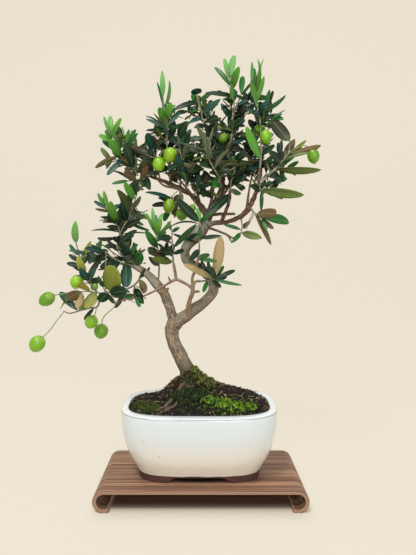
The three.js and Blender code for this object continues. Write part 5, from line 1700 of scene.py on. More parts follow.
# %% Leaf finish
leaf = Finish("olive_leaf")
leaf_upper = leaf.stored("upper", "Fac").over(0.4, 0.6)
leaf_u, leaf_v, _ = leaf.split(leaf.node("ShaderNodeUVMap", {"uv_map": "lie"}))
from_rib = abs(leaf_v - 0.5)
rib = 1 - from_rib.over(0.012, 0.045)
slant = (leaf_u * 11 - from_rib * 5) * (2 * math.pi)
veins = slant.maths("SINE", slant).over(0.72, 1) * (1 - rib)
mottle = leaf.noise(240, 4)
fine_mottle = leaf.noise(1100, 2)
# Mottle, and on both sides light painted towards the tip and shade towards the base by the twig.
upper_mottle_and_painted_light = (0.72 + 0.4 * mottle) * (0.86 + 0.36 * leaf_u.over(0.1, 0.95))
upper_colour = leaf.washed(
    leaf.shade(leaf.stored("tint"), upper_mottle_and_painted_light),
    (rib * 0.2 + veins * 0.06, (176, 196, 140)),
)
under_colour = leaf.washed(
    leaf.shade(leaf.stored("under_tint"), (0.8 + 0.32 * mottle) * (0.86 + 0.24 * leaf_u)),
    (fine_mottle.over(0.5, 0.75) * 0.1, (188, 186, 160)),
    (rib * 0.3, (178, 172, 128)),
    ((1 - leaf_u.over(0.05, 0.5)) * 0.35, (104, 128, 70)),
)
leaf_finish = leaf.paint(
    base_color=leaf.blend(leaf_upper, under_colour, upper_colour),
    roughness=0.64 - 0.32 * leaf_upper + 0.1 * mottle,
    specular_ior_level=0.32,
    normal=leaf.relief((1 - rib) * 0.6 + mottle * 0.3 - veins * 0.15, 0.25, 0.6),
)
young_bark = Finish("green_twig")
twig_noise = young_bark.noise(300, 3)
twig_finish = young_bark.paint(
    base_color=young_bark.ramp(
        twig_noise, (0.3, (82, 78, 62)), (0.5, (124, 122, 98)), (0.7, (168, 160, 140)),
    ),
    roughness=0.6 + 0.2 * twig_noise,
    normal=young_bark.relief(twig_noise, 0.2, 0.5),
)
print("Leaf and twig finishes are mixed")

# %% [markdown]
# ## The leafy shoots
#
# Each shoot is a green twig or two, and the leaves on it. A twig is given by points, and a leaf by
# where it leaves the twig, where its tip lies, how wide it is, how far it is rolled about its
# length, and its tone. The shoots at the back and one at the top in front grow their leaves in
# opposite pairs, as olive does, each pair a quarter turn from the last.

# %% Tones and routes of the shoots
# The colour of a leaf above and below.
DARK = (srgb(13, 46, 29), srgb(92, 104, 68))
TEAL = (srgb(23, 72, 62), srgb(102, 116, 86))
GREEN = (srgb(32, 98, 34), srgb(104, 126, 68))
BROWN = (srgb(18, 48, 32), srgb(98, 80, 50))
SAGE = (srgb(86, 102, 42), srgb(124, 124, 66))
OLIVE = (srgb(140, 150, 56), srgb(160, 142, 86))
PALE = (srgb(104, 162, 84), srgb(140, 176, 98))
BRIGHT = (srgb(84, 146, 44), srgb(120, 160, 74))
GOLD = (srgb(172, 180, 72), srgb(158, 152, 76))
TAN = (srgb(120, 116, 70), srgb(166, 146, 102))
# A leaf deep in shade: the shade is painted into both of its sides.
SHADED_LEAF = (srgb(34, 42, 26), srgb(44, 46, 29))
SHOOTS = {}
SHOOTS["left_low"] = [[
    (-78, -13, 286), (-83, -18, 277), (-91, -22, 271), (-103, -26, 267), (-115, -29, 265),
    (-127, -31, 265), (-140, -33, 267), (-152, -34, 267),
]], [
    (0.06, -69, -41, 266, 10, -170, BROWN), (0.05, -67, -8, 297, 5, 170, BROWN),
    (0.08, -71, -21, 296, 4, -150, BROWN), (0.57, -105, -55, 300, 27, -10, OLIVE),
    (0.57, -89, -55, 270, 15, 10, DARK), (0.59, -123, -55, 257, 13, -10, DARK),
    (0.6, -113, -10, 249, 6, 10, DARK), (0.84, -148, -56, 278, 8, 170, GOLD),
    (0.83, -134, -59, 250, 18, -170, GOLD), (0.97, -148, -60, 249, 10, 170, TAN),
    (1, -180, -24, 243, 6, 35, OLIVE), (1, -161, -60, 261, 13, 170, BROWN),
    (0.43, -89, -10, 255, 6, 10, GREEN), (0.74, -149, -5, 253, 8, -10, TEAL),
]
SHOOTS["left_hanging"] = [[
    (-127, -31, 264), (-129, -36, 249), (-138, -38, 247), (-150, -40, 244), (-162, -42, 241),
    (-170, -43, 244),
]], [
    (0.68, -183, -17, 265, 10, 10, TEAL), (0.35, -148, -30, 231, 5, -10, DARK),
]
SHOOTS["left_tip"] = [[
    (-131, -31, 266), (-138, -30, 274), (-146, -28, 285), (-151, -27, 297), (-154, -26, 309),
    (-158, -25, 323), (-160, -25, 330),
]], [
    (1, -153, -49, 355, 9, 10, PALE), (0.67, -138, -34, 331, 6, 0, OLIVE),
    (0.39, -149, -54, 312, 10, 10, GOLD), (0.49, -154, -9, 314, 6, -10, BRIGHT),
    (0.26, -146, -55, 298, 10, 10, TEAL), (0.22, -127, -52, 297, 8, -10, TEAL),
    (0.31, -130, -19, 309, 8, 0, SAGE), (0.42, -167, -21, 304, 4, -30, DARK),
    (0.22, -133, -3, 280, 9, 10, DARK), (0.73, -171, -15, 327, 5, -10, GREEN),
    (0.33, -170, -2, 285, 8, -170, BROWN),
]
SHOOTS["left_mid"] = [[
    (-91, -12, 299), (-105, -12, 304), (-116, -14, 310), (-124, -17, 317), (-133, -20, 313),
    (-141, -22, 310),
]], [
    (0.65, -145, -37, 322, 8, 10, TEAL), (0.67, -146, -12, 327, 4, -30, DARK),
    (0.83, -137, -46, 302, 10, 10, DARK), (0.6, -138, 9, 305, 8, 170, BROWN),
    (1, -167, -31, 319, 5, 15, TEAL), (0.4, -138, 12, 295, 10, -10, DARK),
    (0.12, -92, -38, 273, 16, 10, TEAL), (0.27, -118, -39, 291, 9, -10, DARK),
    (0.2, -98, 12, 286, 8, 10, GREEN), (0.8, -133, -3, 333, 6, -10, GREEN),
    (0.97, -160, 4, 302, 8, 10, DARK),
]
SHOOTS["left_upper"] = [[
    (-84, -10, 300), (-96, -6, 306), (-109, -2, 316), (-112, 1, 326), (-110, 3, 336), (-108, 5, 344),
    (-103, 7, 354), (-98, 9, 363), (-95, 11, 374), (-91, 12, 385), (-87, 13, 398),
]], [
    (0.92, -100, -13, 408, 10, 10, BRIGHT), (0.93, -97, 19, 411, 4, -25, GREEN),
    (0.95, -89, 6, 412, 4, 25, GREEN), (1, -87, 18, 416, 4, -25, PALE),
    (0.79, -109, -15, 398, 11, 10, SAGE), (0.65, -103, -18, 382, 12, -10, DARK),
    (0.57, -84, 16, 373, 5, 10, TEAL), (0.57, -77, -20, 360, 11, -10, SHADED_LEAF),
    (0.5, -145, -7, 345, 7, 55, TEAL), (0.45, -142, 13, 336, 6, -45, DARK),
    (0.66, -68, -2, 346, 6, 45, GREEN), (0.36, -82, -21, 345, 9, -10, DARK),
    (0.33, -134, 21, 325, 7, 10, DARK), (0.23, -90, -27, 326, 8, -10, TEAL),
    (0.2, -90, -28, 309, 13, 10, DARK), (0.1, -91, -32, 323, 8, -10, TEAL),
    (0.04, -73, -34, 314, 15, 10, GREEN), (0.01, -109, -3, 301, 4, -30, GREEN),
    (0.11, -74, 3, 321, 5, 180, BROWN), (0.27, -125, -8, 335, 5, -10, DARK),
    (0.16, -129, 23, 303, 9, 10, DARK),
]
SHOOTS["left_side"] = [[
    (-109, 4, 341), (-112, 0, 356), (-118, -4, 366), (-124, -6, 374), (-129, -8, 379),
]], [
    (0.22, -106, -17, 373, 7, 10, DARK), (0.38, -115, -28, 382, 12, -10, BRIGHT),
    (0.81, -130, 0, 399, 6, 0, BRIGHT), (0.81, -144, 4, 386, 5, -10, TEAL),
    (1, -133, -20, 393, 5, 10, PALE), (0.48, -135, 1, 364, 4, -30, DARK),
    (0.32, -107, 21, 370, 7, 10, TEAL), (0.16, -121, -21, 350, 7, -10, DARK),
]
SHOOTS["light_cluster"] = [[
    (-57, -5, 274), (-55, -9, 291), (-55, -12, 306), (-56, -14, 321), (-58, -15, 331), (-58, -16, 342),
]], [
    (0.97, -79, -5, 371, 6, 50, PALE), (1, -70, -25, 367, 5, 0, BRIGHT), (1, -62, -26, 374, 6, 0, PALE),
    (0.97, -59, -8, 366, 5, 0, GREEN), (0.95, -49, -42, 359, 9, 10, BRIGHT),
    (0.93, -49, -6, 369, 6, -25, PALE), (0.9, -38, -24, 357, 5, 40, PALE),
    (0.7, -69, -40, 345, 10, -10, GREEN), (0.65, -36, -37, 314, 8, 10, DARK),
    (0.65, -73, 12, 321, 8, -10, DARK), (0.44, -44, 6, 324, 7, 10, GREEN),
    (0.37, -65, -38, 311, 8, -10, DARK), (0.82, -47, 4, 345, 7, 10, BRIGHT),
]
SHOOTS["cut_stub"] = [[
    (-35, -20, 301), (-36, -22, 312), (-36, -23, 323), (-37, -24, 335), (-37, -24, 344),
]], [
    (0.47, -5, -36, 352, 8, 35, GREEN), (0.93, -4, -13, 329, 6, -35, TEAL),
    (1, -26, -41, 347, 5, 10, GREEN), (0.79, -54, -48, 333, 8, -10, DARK),
    (0.61, -52, -10, 334, 5, 10, TEAL), (0.07, -67, -31, 316, 6, 145, BROWN),
    (0.07, -60, -47, 309, 10, 10, SAGE), (1, -43, -8, 357, 5, -10, PALE),
    (0.31, -20, -4, 321, 6, 10, DARK),
]
SHOOTS["centre_up"] = [[
    (-4, -22, 307), (-2, -24, 317), (-2, -26, 327), (-1, -27, 342), (-1, -28, 356),
]], [
    (0.98, -30, -46, 382, 13, 10, DARK), (1, 40, -12, 393, 11, 0, DARK),
    (0.93, -45, -15, 346, 8, 60, GREEN), (0.89, -2, -35, 331, 5, -10, GREEN),
    (0.56, 27, -35, 337, 6, 0, DARK), (0.28, -14, -48, 305, 8, -10, DARK),
    (0.03, 12, 4, 314, 8, 10, GREEN), (0, 21, -29, 305, 5, 0, GREEN), (1, -5, -9, 375, 6, 10, PALE),
    (0.71, -18, -9, 333, 6, -10, DARK), (0.98, 13, -46, 365, 6, 10, GREEN),
]
SHOOTS["whorl"] = [[
    (-1, -19, 279), (8, -21, 280), (18, -23, 282),
]], [
    (0.96, -22, -36, 302, 9, -165, TAN), (0.96, -1, -6, 300, 8, -10, DARK),
    (1, 9, -46, 301, 8, 10, DARK), (1, 25, -37, 337, 14, 170, TAN), (1, 45, -15, 293, 6, 0, DARK),
    (1, 52, -34, 275, 6, -35, GREEN), (0.5, 3, -42, 267, 6, 10, GREEN),
]
SHOOTS["centre"] = [[
    (-10, 2, 392), (-4, -8, 399), (5, -14, 403), (16, -18, 410), (22, -20, 415),
]], [
    (0.29, -2, -29, 413, 7, 10, TEAL), (0.43, 9, -32, 414, 7, 170, BROWN),
    (0.16, -12, 12, 419, 7, -170, BROWN), (0.32, 20, -36, 406, 11, -10, TEAL),
    (0.89, 34, 6, 431, 8, 10, DARK), (1, 19, -46, 427, 9, -10, DARK),
    (0.66, 26, -43, 397, 8, 10, GREEN), (0.52, 3, -40, 385, 8, -10, DARK),
    (0.75, 4, 8, 428, 9, 10, DARK),
]
SHOOTS["centre_left"] = [[
    (-27, 8, 402), (-30, 12, 392), (-35, 15, 386), (-42, 18, 381),
]], [
    (0.71, -72, -20, 394, 7, 20, TEAL), (0.46, -36, 10, 363, 5, 180, BROWN),
    (1, -67, 11, 380, 8, 10, DARK), (0.89, -52, 26, 360, 8, -10, GREEN),
    (0.58, -19, -31, 371, 8, 10, DARK), (0.93, -58, 8, 396, 7, -10, DARK),
]
SHOOTS["mid_left"] = [[
    (-20, 8, 401), (-20, -4, 413), (-22, -12, 427), (-26, -16, 443), (-28, -16, 460), (-30, -16, 468),
]], [
    (0.16, -32, -25, 442, 12, 10, TEAL), (0.2, 22, 16, 418, 12, -10, TEAL),
    (0.94, -17, -42, 479, 12, 10, DARK), (0.86, 2, -24, 463, 8, -10, TEAL),
    (0.75, -7, 10, 461, 10, 10, DARK), (0.55, -8, -41, 426, 9, 170, BROWN),
    (0.52, -41, -40, 419, 9, 10, DARK), (0.8, -46, 10, 480, 9, -10, DARK),
    (0.37, -41, 13, 418, 8, -170, BROWN), (0.68, -45, 10, 459, 9, -10, DARK),
    (0.4, -2, 14, 446, 10, 10, DARK), (0.71, -13, -42, 464, 9, -10, DARK),
]
SHOOTS["upper_left"] = [[
    (-86, 12, 421), (-91, 10, 430), (-97, 8, 438), (-107, 6, 445), (-116, 4, 453), (-119, 2, 463),
    (-119, 0, 472),
], [
    (-103, 7, 442), (-102, 4, 453), (-103, 2, 462),
]], [
    (1.72, -117, -13, 474, 8, 10, PALE), (0.53, -118, -20, 463, 12, -10, BRIGHT),
    (0.98, -123, 9, 502, 8, 0, BRIGHT), (0.98, -128, -9, 496, 5, -5, PALE),
    (0.98, -105, -8, 494, 7, 0, BRIGHT), (0.88, -139, 11, 477, 7, -10, BRIGHT),
    (0.88, -127, -4, 479, 7, 25, BRIGHT), (0.69, -136, 21, 473, 7, -10, GREEN),
    (1.99, -107, 9, 488, 5, 0, PALE), (1.85, -95, -5, 480, 6, 0, BRIGHT),
    (1.64, -89, 13, 485, 6, 15, GREEN), (1.44, -83, -5, 475, 6, -15, GREEN),
    (0.17, -100, -14, 460, 12, 10, DARK), (1.11, -125, -4, 419, 8, 0, TEAL),
    (0.46, -96, 32, 434, 8, 10, DARK), (0.56, -140, -6, 428, 7, 125, BROWN),
    (0.12, -66, -15, 439, 10, -170, BROWN), (0.36, -86, 32, 458, 8, -10, DARK),
]
SHOOTS["left_outer"] = [[
    (-70, 14, 421), (-79, 12, 418), (-88, 9, 415), (-98, 6, 413),
]], [
    (0.91, -121, 15, 428, 5, 30, DARK), (0.62, -100, -17, 421, 12, 170, BROWN),
    (0.38, -98, 5, 406, 5, 0, DARK), (1, -119, -1, 408, 5, 0, GREEN),
    (0.19, -66, -13, 398, 10, 10, DARK), (0.79, -89, 34, 402, 8, -10, DARK),
    (0.48, -69, -15, 429, 11, -170, BROWN),
]
SHOOTS["blue_pair"] = [[
    (-56, 14, 416), (-58, 4, 430), (-60, -4, 442), (-63, -9, 453),
]], [
    (1, -68, -35, 466, 12, 10, TEAL), (0.67, -69, 22, 467, 11, -10, TEAL),
    (0.78, -100, 6, 463, 9, 180, BROWN), (0.5, -72, -26, 434, 9, -10, DARK),
    (0.33, -68, -22, 416, 9, 10, DARK), (0.92, -48, -34, 456, 9, -10, DARK),
    (0.22, -45, 33, 437, 8, 10, GREEN),
]
SHOOTS["tall"] = [[
    (-42, 16, 413), (-43, 8, 431), (-45, 2, 447), (-45, -2, 464), (-45, -4, 479), (-46, -5, 495),
    (-49, -6, 510), (-50, -7, 524),
]], [
    (0.99, -50, -17, 553, 7, 0, PALE), (0.86, -59, 4, 546, 6, -50, GREEN),
    (0.85, -41, -17, 540, 6, 50, PALE), (0.67, -54, -19, 504, 10, -10, BRIGHT),
    (0.73, -51, 18, 522, 8, 10, GREEN), (0.7, -37, -27, 507, 10, -10, BRIGHT),
    (0.79, -34, 7, 516, 5, 10, PALE), (0.63, -27, 2, 505, 7, -10, TEAL),
    (0.62, -14, -14, 487, 6, 45, GREEN), (0.61, -72, -13, 491, 5, 0, TEAL),
    (0.57, -74, 4, 481, 5, 0, DARK), (0.54, -66, 3, 460, 7, 170, BROWN),
    (0.38, -32, 25, 478, 9, 10, DARK), (0.34, -63, 26, 474, 9, -10, DARK),
    (0.23, -27, -22, 446, 9, -170, BROWN),
]
SHOOTS["top_middle"] = [[
    (23, 0, 419), (18, -2, 437), (12, -4, 455), (8, -4, 474), (3, -4, 492), (-1, -5, 509),
    (-5, -6, 523), (-6, 6, 530),
]], [
    (0.65, -15, -22, 483, 7, 10, TEAL), (0.81, -35, -15, 502, 8, 0, DARK),
    (0.73, -17, 6, 505, 5, 10, GREEN), (1, -6, -10, 532, 15, 0, TEAL),
    (0.48, -11, -28, 459, 8, -170, BROWN), (0.33, -1, -30, 444, 8, 170, BROWN),
    (0.82, 16, -13, 526, 7, 0, GREEN), (0.79, 24, 3, 515, 5, 0, BRIGHT),
    (0.68, 26, -13, 517, 9, 10, TEAL), (0.59, 22, -30, 487, 11, -10, DARK),
    (0.43, 29, 22, 481, 11, 10, DARK), (0.54, -9, 22, 491, 9, -10, DARK),
    (0.26, 29, -29, 444, 11, 10, DARK), (0.37, -3, 22, 478, 9, -10, DARK),
    (0.19, 3, 24, 448, 9, 10, DARK), (0.63, 11, 22, 516, 9, -10, DARK),
]
SHOOTS["top_tall"] = [[
    (30, -2, 424), (36, -4, 446), (40, -6, 465), (42, -8, 483), (42, -9, 497), (44, -10, 514),
    (41, -11, 529), (37, -12, 546),
], [
    (42, -9, 497), (48, -6, 512), (54, -3, 526),
]], [
    (0.99, 30, -20, 567, 7, 0, PALE), (0.99, 46, 8, 584, 9, -10, PALE),
    (0.89, 18, -1, 564, 7, 0, GREEN), (0.86, 48, -37, 549, 10, -10, BRIGHT),
    (0.74, 38, -34, 528, 8, 10, PALE), (1.99, 58, 16, 559, 8, -10, GREEN),
    (1.99, 67, -10, 540, 4, 25, GREEN), (0.79, 5, -22, 521, 7, -5, DARK),
    (1.9, 97, 9, 526, 8, 45, GREEN), (0.56, 28, 17, 522, 9, -10, TEAL),
    (0.35, 28, -17, 440, 8, 180, BROWN), (0.31, 59, -23, 463, 7, -10, TEAL),
    (0.45, 56, -34, 483, 11, 10, DARK), (0.51, 62, 17, 514, 11, -10, DARK),
    (0.39, 25, 19, 494, 11, 10, DARK), (0.24, 59, 21, 461, 11, -10, DARK),
    (0.17, 19, -30, 455, 11, 10, DARK), (1.35, 59, -33, 507, 9, -10, TEAL),
    (0.08, 47, -29, 434, 11, -170, BROWN),
]
SHOOTS["right_top"] = [[
    (76, -24, 424), (78, -20, 445), (78, -16, 463), (78, -12, 479), (77, -9, 496), (74, -6, 513),
    (71, -4, 530), (69, -4, 537),
]], [
    (1, 67, -14, 566, 6, 25, PALE), (0.95, 72, 4, 565, 5, 0, GREEN), (0.9, 74, -16, 568, 7, 45, BRIGHT),
    (0.83, 85, 10, 580, 9, -60, PALE), (0.81, 83, -13, 547, 7, 0, BRIGHT),
    (0.74, 65, -16, 541, 8, -10, BRIGHT), (0.67, 115, 5, 529, 7, 55, GREEN),
    (0.64, 85, -34, 507, 9, -10, TEAL), (0.67, 58, -33, 496, 13, 10, TEAL),
    (0.57, 96, -2, 510, 4, -30, GREEN), (0.54, 96, -16, 495, 5, 0, DARK),
    (0.43, 108, -24, 499, 7, -55, GREEN), (0.1, 57, -34, 475, 12, 10, BRIGHT),
    (0.1, 20, -38, 430, 8, -65, SAGE), (0.22, 67, 8, 458, 10, -170, BROWN),
    (0.29, 97, 10, 479, 12, -10, DARK), (0.43, 66, 14, 499, 12, 10, DARK),
    (0.18, 91, -45, 447, 12, -10, DARK), (0.02, 59, 3, 419, 10, 10, TEAL),
    (0.36, 99, 22, 480, 10, -10, DARK),
]
SHOOTS["right_upper"] = [[
    (71, -28, 397), (78, -30, 406), (84, -31, 412), (91, -32, 419), (100, -33, 428), (108, -34, 438),
    (116, -35, 445),
], [
    (111, -34, 441), (113, -31, 457),
]], [
    (0.77, 124, -8, 466, 11, -170, BROWN), (1, 148, -46, 448, 8, 180, BROWN),
    (0.52, 131, -18, 454, 8, 40, GREEN), (0.69, 134, -45, 439, 8, -40, SAGE),
    (0.51, 147, -50, 417, 10, 55, SAGE), (1.99, 92, -21, 487, 17, 175, SHADED_LEAF),
    (0.92, 135, -26, 460, 5, 40, OLIVE), (0.64, 81, -59, 437, 11, -10, DARK),
    (0.42, 84, -6, 439, 9, -170, BROWN), (0.36, 99, -57, 401, 9, -10, DARK),
]
SHOOTS["right_side"] = [[
    (70, -28, 392), (77, -32, 395), (84, -36, 398), (91, -38, 402),
]], [
    (0.3, 124, -59, 385, 12, 30, SAGE), (0.78, 107, -30, 387, 5, 0, GREEN),
    (0.56, 102, -42, 382, 5, 180, BROWN), (0.33, 75, -40, 368, 5, 0, GREEN),
    (1, 111, -21, 412, 6, 10, TEAL), (0.22, 59, -57, 396, 10, -10, DARK),
]
SHOOTS["right_low"] = [[
    (63, -28, 374), (67, -32, 367), (74, -34, 361), (80, -36, 358),
]], [
    (0.49, 91, -59, 364, 13, -170, BROWN), (1, 116, -10, 356, 14, -10, GREEN),
    (0.86, 81, -46, 343, 5, 10, GREEN), (0.36, 91, -18, 326, 8, 155, BROWN),
    (0.8, 89, -49, 345, 6, -170, BROWN),
]
SHOOTS["right_under"] = [[
    (52, -22, 359), (53, -26, 350), (51, -28, 341),
]], [
    (1, 76, -41, 334, 10, 10, SAGE), (0.79, 30, -20, 352, 5, 0, GREEN),
    (0.64, 66, -6, 358, 6, -170, BROWN), (1, 38, -47, 328, 6, -10, GREEN),
]
SHOOTS["inner_right"] = [[
    (38, -18, 396), (39, -20, 407), (43, -22, 420), (46, -24, 432),
]], [
    (0.3, 52, -46, 408, 9, 10, DARK), (0.57, 29, 5, 428, 10, -10, DARK),
    (0.97, 54, -50, 439, 10, 10, DARK), (0.9, 37, 3, 450, 10, -10, DARK),
    (0.11, 25, 7, 409, 8, -170, BROWN), (0.67, 61, 4, 430, 10, 170, BROWN),
    (0.04, 55, 8, 396, 8, 10, GREEN), (0.97, 65, 2, 436, 10, -10, DARK),
]
SHOOTS["back_left"] = [[
    (-76, -11, 293), (-87, 10, 303), (-104, 28, 310), (-123, 40, 308),
]], []
SHOOTS["back_left_high"] = [[
    (-109, 4, 334), (-106, 20, 347), (-103, 30, 365), (-101, 36, 384),
]], []
SHOOTS["back_upper_left"] = [[
    (-67, 15, 420), (-73, 32, 433), (-83, 44, 450), (-95, 52, 466),
]], []
SHOOTS["back_top_left"] = [[
    (-28, 12, 403), (-29, 32, 424), (-34, 44, 450), (-42, 52, 473),
]], []
SHOOTS["back_top"] = [[
    (28, 0, 408), (30, 26, 435), (26, 40, 463), (22, 50, 492),
]], []
SHOOTS["back_right"] = [[
    (73, -26, 401), (82, 4, 425), (83, 26, 449), (79, 40, 475),
]], []
SHOOTS["front_top"] = [[
    (27, -5, 403), (22, -34, 412), (12, -48, 426), (5, -56, 442),
]], []
# How many pairs of leaves the shoots have whose leaves aren't placed one by one.
PAIRS = {
    "back_left": 5, "back_left_high": 4, "back_upper_left": 5, "back_top_left": 5, "back_top": 6,
    "back_right": 6, "front_top": 5,
}
print("Shoots:", len(SHOOTS))

# %% Growing the shoots
TWIG_BASE, TWIG_TIP = 1.35, 0.7
TWIG_STEPS = 5
LAST_LEAF = 0.97
# How much darker a leaf deep in the crown is. It is deep with many others within this reach in
# millimetres, and with their middle close to it.
INNER_DIM, CROWDED = 0.81, 26
FEW_NEAR, MANY_NEAR = 5, 14
OFF_CENTRE, CENTRED = 0.5, 0.2
ROUND_SHAPE = 0.38
TWIG_SAMPLES = 12
PAIRED_TONES = (DARK, DARK, TEAL, TEAL, GREEN)
PAIR = {
    "first": 0.22, "last": 0.98, "length": (26, 40), "width": (7, 9), "lean": (0.7, 1.2), "rise": 0.15,
}
leaf_dice = random.Random(5)


def walked(route, share):
    """The point at a share of a route's length, and the direction there."""
    steps = [(b - a).length for a, b in zip(route, route[1:])]
    left = share * sum(steps)
    for a, b, step in zip(route, route[1:], steps):
        if left <= step or b is route[-1]:
            return a.lerp(b, min(1, left / step)), (b - a).normalized()
        left -= step


def vary(a, b):
    """A number from 0 to 1 that looks random and stays the same for the same pair: the digits of
    a large multiple of a sine, the common way to do that without dice."""
    return math.sin(a * 12.9898 + b * 78.233) * 43758.5453 % 1


def between(ends, a, b):
    return ends[0] + (ends[1] - ends[0]) * vary(a, b)


crown_points = [Vector(row[1:4]) for _, rows in SHOOTS.values() for row in rows]
for routes, _ in SHOOTS.values():
    for points in routes:
        points = [Vector(point) for point in points]
        crown_points += [walked(points, k / TWIG_SAMPLES)[0] for k in range(TWIG_SAMPLES + 1)]
crown = tree_of(crown_points)


def depth_in_crown(place):
    """From 0 at the outside of the crown to 1 deep among the leaves, where less light has come."""
    near = [Vector(found[0]) - place for found in crown.find_range(place, CROWDED)]
    if not near:
        return 0
    off_centre = (sum(near, Vector()) / len(near)).length / CROWDED
    crowding = (len(near) - FEW_NEAR) / (MANY_NEAR - FEW_NEAR)
    centring = (OFF_CENTRE - off_centre) / (OFF_CENTRE - CENTRED)
    return min(1, max(0, crowding)) * min(1, max(0, centring))


def leaf_copy(base, tip, width, roll, facing, tone):
    """One leaf as a copy of a blade; base and tip are in millimetres."""
    along = tip - base
    face = (facing - facing.dot(along) / along.length_squared * along).normalized()
    face.rotate(Quaternion(along, math.radians(roll)))
    length = along.length * MM
    matrix = place_matrix(spot(*base), along, face, (length, width * MM, length))
    dim = 1 - INNER_DIM * depth_in_crown(tip)
    tint, under = (varied([channel * dim for channel in colour], leaf_dice) for colour in tone)
    blades = round_blades if width * MM > ROUND_SHAPE * length else leaf_blades
    return leaf_dice.choice(blades), matrix, tint, under


def placed_leaves(routes, rows):
    for where, x, y, z, width, roll, tone in rows:
        twig = min(int(where), len(routes) - 1)
        base, _ = walked(routes[twig], min(where - twig, LAST_LEAF))
        yield leaf_copy(base, Vector((x, y, z)), width, roll, FRONT, tone)


def paired_leaves(route, seed, pairs):
    def grown(base, ahead, k):
        tip = base + ahead * between(PAIR["length"], seed, k)
        tone = leaf_dice.choice(PAIRED_TONES)
        return leaf_copy(base, tip, between(PAIR["width"], seed, k + 50), 0, UP, tone)

    for pair in range(pairs):
        where = PAIR["first"] + (PAIR["last"] - PAIR["first"]) * pair / (pairs - 1)
        base, ahead = walked(route, min(where, LAST_LEAF))
        sideways = ahead.cross(UP).normalized()
        sideways.rotate(Quaternion(ahead, pair * math.pi / 2 + vary(seed, pair)))
        for side in (-1, 1):
            lean = between(PAIR["lean"], seed, 2 * pair + side)
            away = ahead * math.cos(lean) + side * math.sin(lean) * sideways + PAIR["rise"] * UP
            yield grown(base, away.normalized(), 2 * pair + side)
    yield grown(*walked(route, LAST_LEAF), 99)


print("A leaf's colours vary, and so do its roll and its length")

# %% [markdown]
# Inside the crown many small leaves grow on short side twigs. A small leaf is left out where it
# would stand before an olive or one of the finest leaves, for someone in front.

# %% Side twigs
# How many short side twigs with small leaves each of the denser shoots has.
SPURS = {
    "left_low": 3, "left_tip": 2, "left_mid": 4, "left_upper": 4, "left_side": 3, "centre": 3,
    "centre_left": 3, "mid_left": 11, "upper_left": 7, "left_outer": 3, "blue_pair": 4, "tall": 9,
    "top_middle": 13, "top_tall": 13, "right_top": 13, "right_upper": 6, "right_side": 3,
    "right_low": 2, "inner_right": 10, "whorl": 2, "front_top": 4, "back_upper_left": 5,
    "back_top_left": 6, "back_top": 7, "back_right": 5, "back_left_high": 3, "back_left": 3,
    "cut_stub": 1,
}
SPUR_LENGTH = (9, 24)
SMALL_TONES = (DARK, DARK, DARK, TEAL, GREEN, GREEN, SAGE, BROWN)
SMALL_LEAF = {"length": (12, 24), "width": (5.5, 8.5), "lean": (0.6, 1.3)}
SPUR_FIRST, SPUR_SPREAD = 0.04, 0.74
# How much a side twig leans along its twig and up, and a small leaf up, outwards and along itself.
SPUR_AHEAD, SPUR_RISE, LEAF_RISE, FACES_OUT, FACES_ALONG = 0.5, 0.3, 0.1, 0.8, 0.2
SMALL_ROLL = (-60, 60)
SPUR_LEAVES = (0.1, 0.4, 0.7, 0.97)
BACK = Vector((0, 1, 0.2)).normalized()
BACK_FROM = 12
# What small leaves keep clear of, and by how much: olives, wide leaves and leaves of fine tones.
OLIVE_CLEAR, FREE_LEAF, BEHIND = 5, 8, 4
WIDE_LEAF, FINE_TONES = 12, (SHADED_LEAF, OLIVE, TAN, GOLD, BRIGHT)
in_view = [(Vector(centre), length / 2 + OLIVE_CLEAR) for _, centre, _, length in OLIVES.values()]
for _, rows in SHOOTS.values():
    for _, x, y, z, width, _, tone in rows:
        if width >= WIDE_LEAF or tone in FINE_TONES:
            in_view.append((Vector((x, y, z)), FREE_LEAF))


def hides_view(tip):
    """Whether a leaf that ends here stands before an olive or a fine leaf for someone in front."""
    for centre, reach in in_view:
        sight = (centre - EYE).normalized()
        along = (tip - EYE).dot(sight)
        beside = (tip - EYE - sight * along).length
        if beside < reach and along < (centre - EYE).length + BEHIND:
            return True
    return False


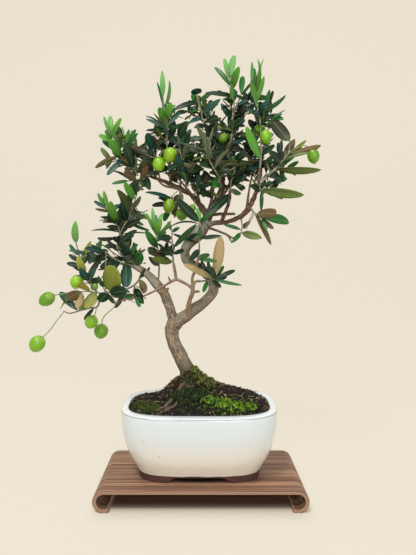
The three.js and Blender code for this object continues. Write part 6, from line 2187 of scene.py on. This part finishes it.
def side_twigs(route, tips, number):
    """Short twigs with small leaves, kept inside the width and height that the shoot fills."""
    low, high = ([limit(tip[axis] for tip in tips) for axis in range(3)] for limit in (min, max))
    twigs, leaves = [], []
    for spur in range(number):
        start, ahead = walked(route, SPUR_FIRST + SPUR_SPREAD * (spur + leaf_dice.random()) / number)
        sideways = ahead.orthogonal().normalized()
        sideways.rotate(Quaternion(ahead, leaf_dice.uniform(0, 2 * math.pi)))
        sideways.y = abs(sideways.y)
        along = (sideways + SPUR_AHEAD * ahead + SPUR_RISE * UP).normalized()
        length = leaf_dice.uniform(*SPUR_LENGTH)
        twigs.append([start + along * length * share for share in (0, 0.5, 1)])
        for share in SPUR_LEAVES:
            turned = along.orthogonal().normalized()
            turned.rotate(Quaternion(along, leaf_dice.uniform(0, 2 * math.pi)))
            for side in (-1, 1):
                lean = leaf_dice.uniform(*SMALL_LEAF["lean"])
                away = along * math.cos(lean) + side * math.sin(lean) * turned + LEAF_RISE * UP
                away.normalize()
                base = start + along * length * share
                tip = base + away * leaf_dice.uniform(*SMALL_LEAF["length"])
                roomy = all(low[axis] < tip[axis] < high[axis] for axis in (0, 2))
                tone = leaf_dice.choice(SMALL_TONES)
                width, roll = leaf_dice.uniform(*SMALL_LEAF["width"]), leaf_dice.uniform(*SMALL_ROLL)
                if roomy and not hides_view(tip) and not hides_view(base.lerp(tip, 0.5)):
                    outwards = FRONT if base.y < BACK_FROM else BACK
                    facing = (UP + FACES_OUT * outwards + away * FACES_ALONG).normalized()
                    leaves.append(leaf_copy(base, tip, width, roll, facing, tone))
    return twigs, leaves


print("Side twigs:", sum(SPURS.values()))

# %% Leafy shoots
leaf_count = 0
for name, (twig_points, rows) in SHOOTS.items():
    routes = [through(points, TWIG_STEPS) for points in twig_points]
    leaves = list(placed_leaves(routes, rows))
    if name in PAIRS:
        leaves += paired_leaves(routes[0], twig_points[0][1][0], PAIRS[name])
    tips = [(matrix @ Vector((1, 0, 0)) - STAND_MIDDLE) / MM for _, matrix, *_ in leaves]
    side_routes, side_leaves = side_twigs(routes[0], tips, SPURS.get(name, 0))
    leaves += side_leaves
    rods = [[(*point, TWIG_TIP) for point in route] for route in side_routes]
    for k, route in enumerate(routes):
        radii = np.linspace(TWIG_BASE, TWIG_TIP, len(route))
        rods.insert(k, [(*point, radius) for point, radius in zip(route, radii)])
    twigs = tube(f"{name}_twigs", rods)
    twigs.data.materials.append(twig_finish)
    smoothed(twigs, 60)
    foliage = copied(f"{name}_leaves", leaves)
    foliage.data.materials.append(leaf_finish)
    leaf_count += len(leaves)
    settled(joined(f"{name}_shoot", [foliage, twigs]), f"shoot_{name}")
print("Leaves:", leaf_count)

# %% [markdown]
# ## The sizes
#
# The last step prints the size of the box of this visual model and of the CAD model's box.

# %% Sizes
boxes = {
    "cad": [list(corner) for corner in cad_box],
    "visual": [list(corner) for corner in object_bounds()],
}
for key, (low, high) in boxes.items():
    print(key, [round((b - a) * 1000, 1) for a, b in zip(low, high)])
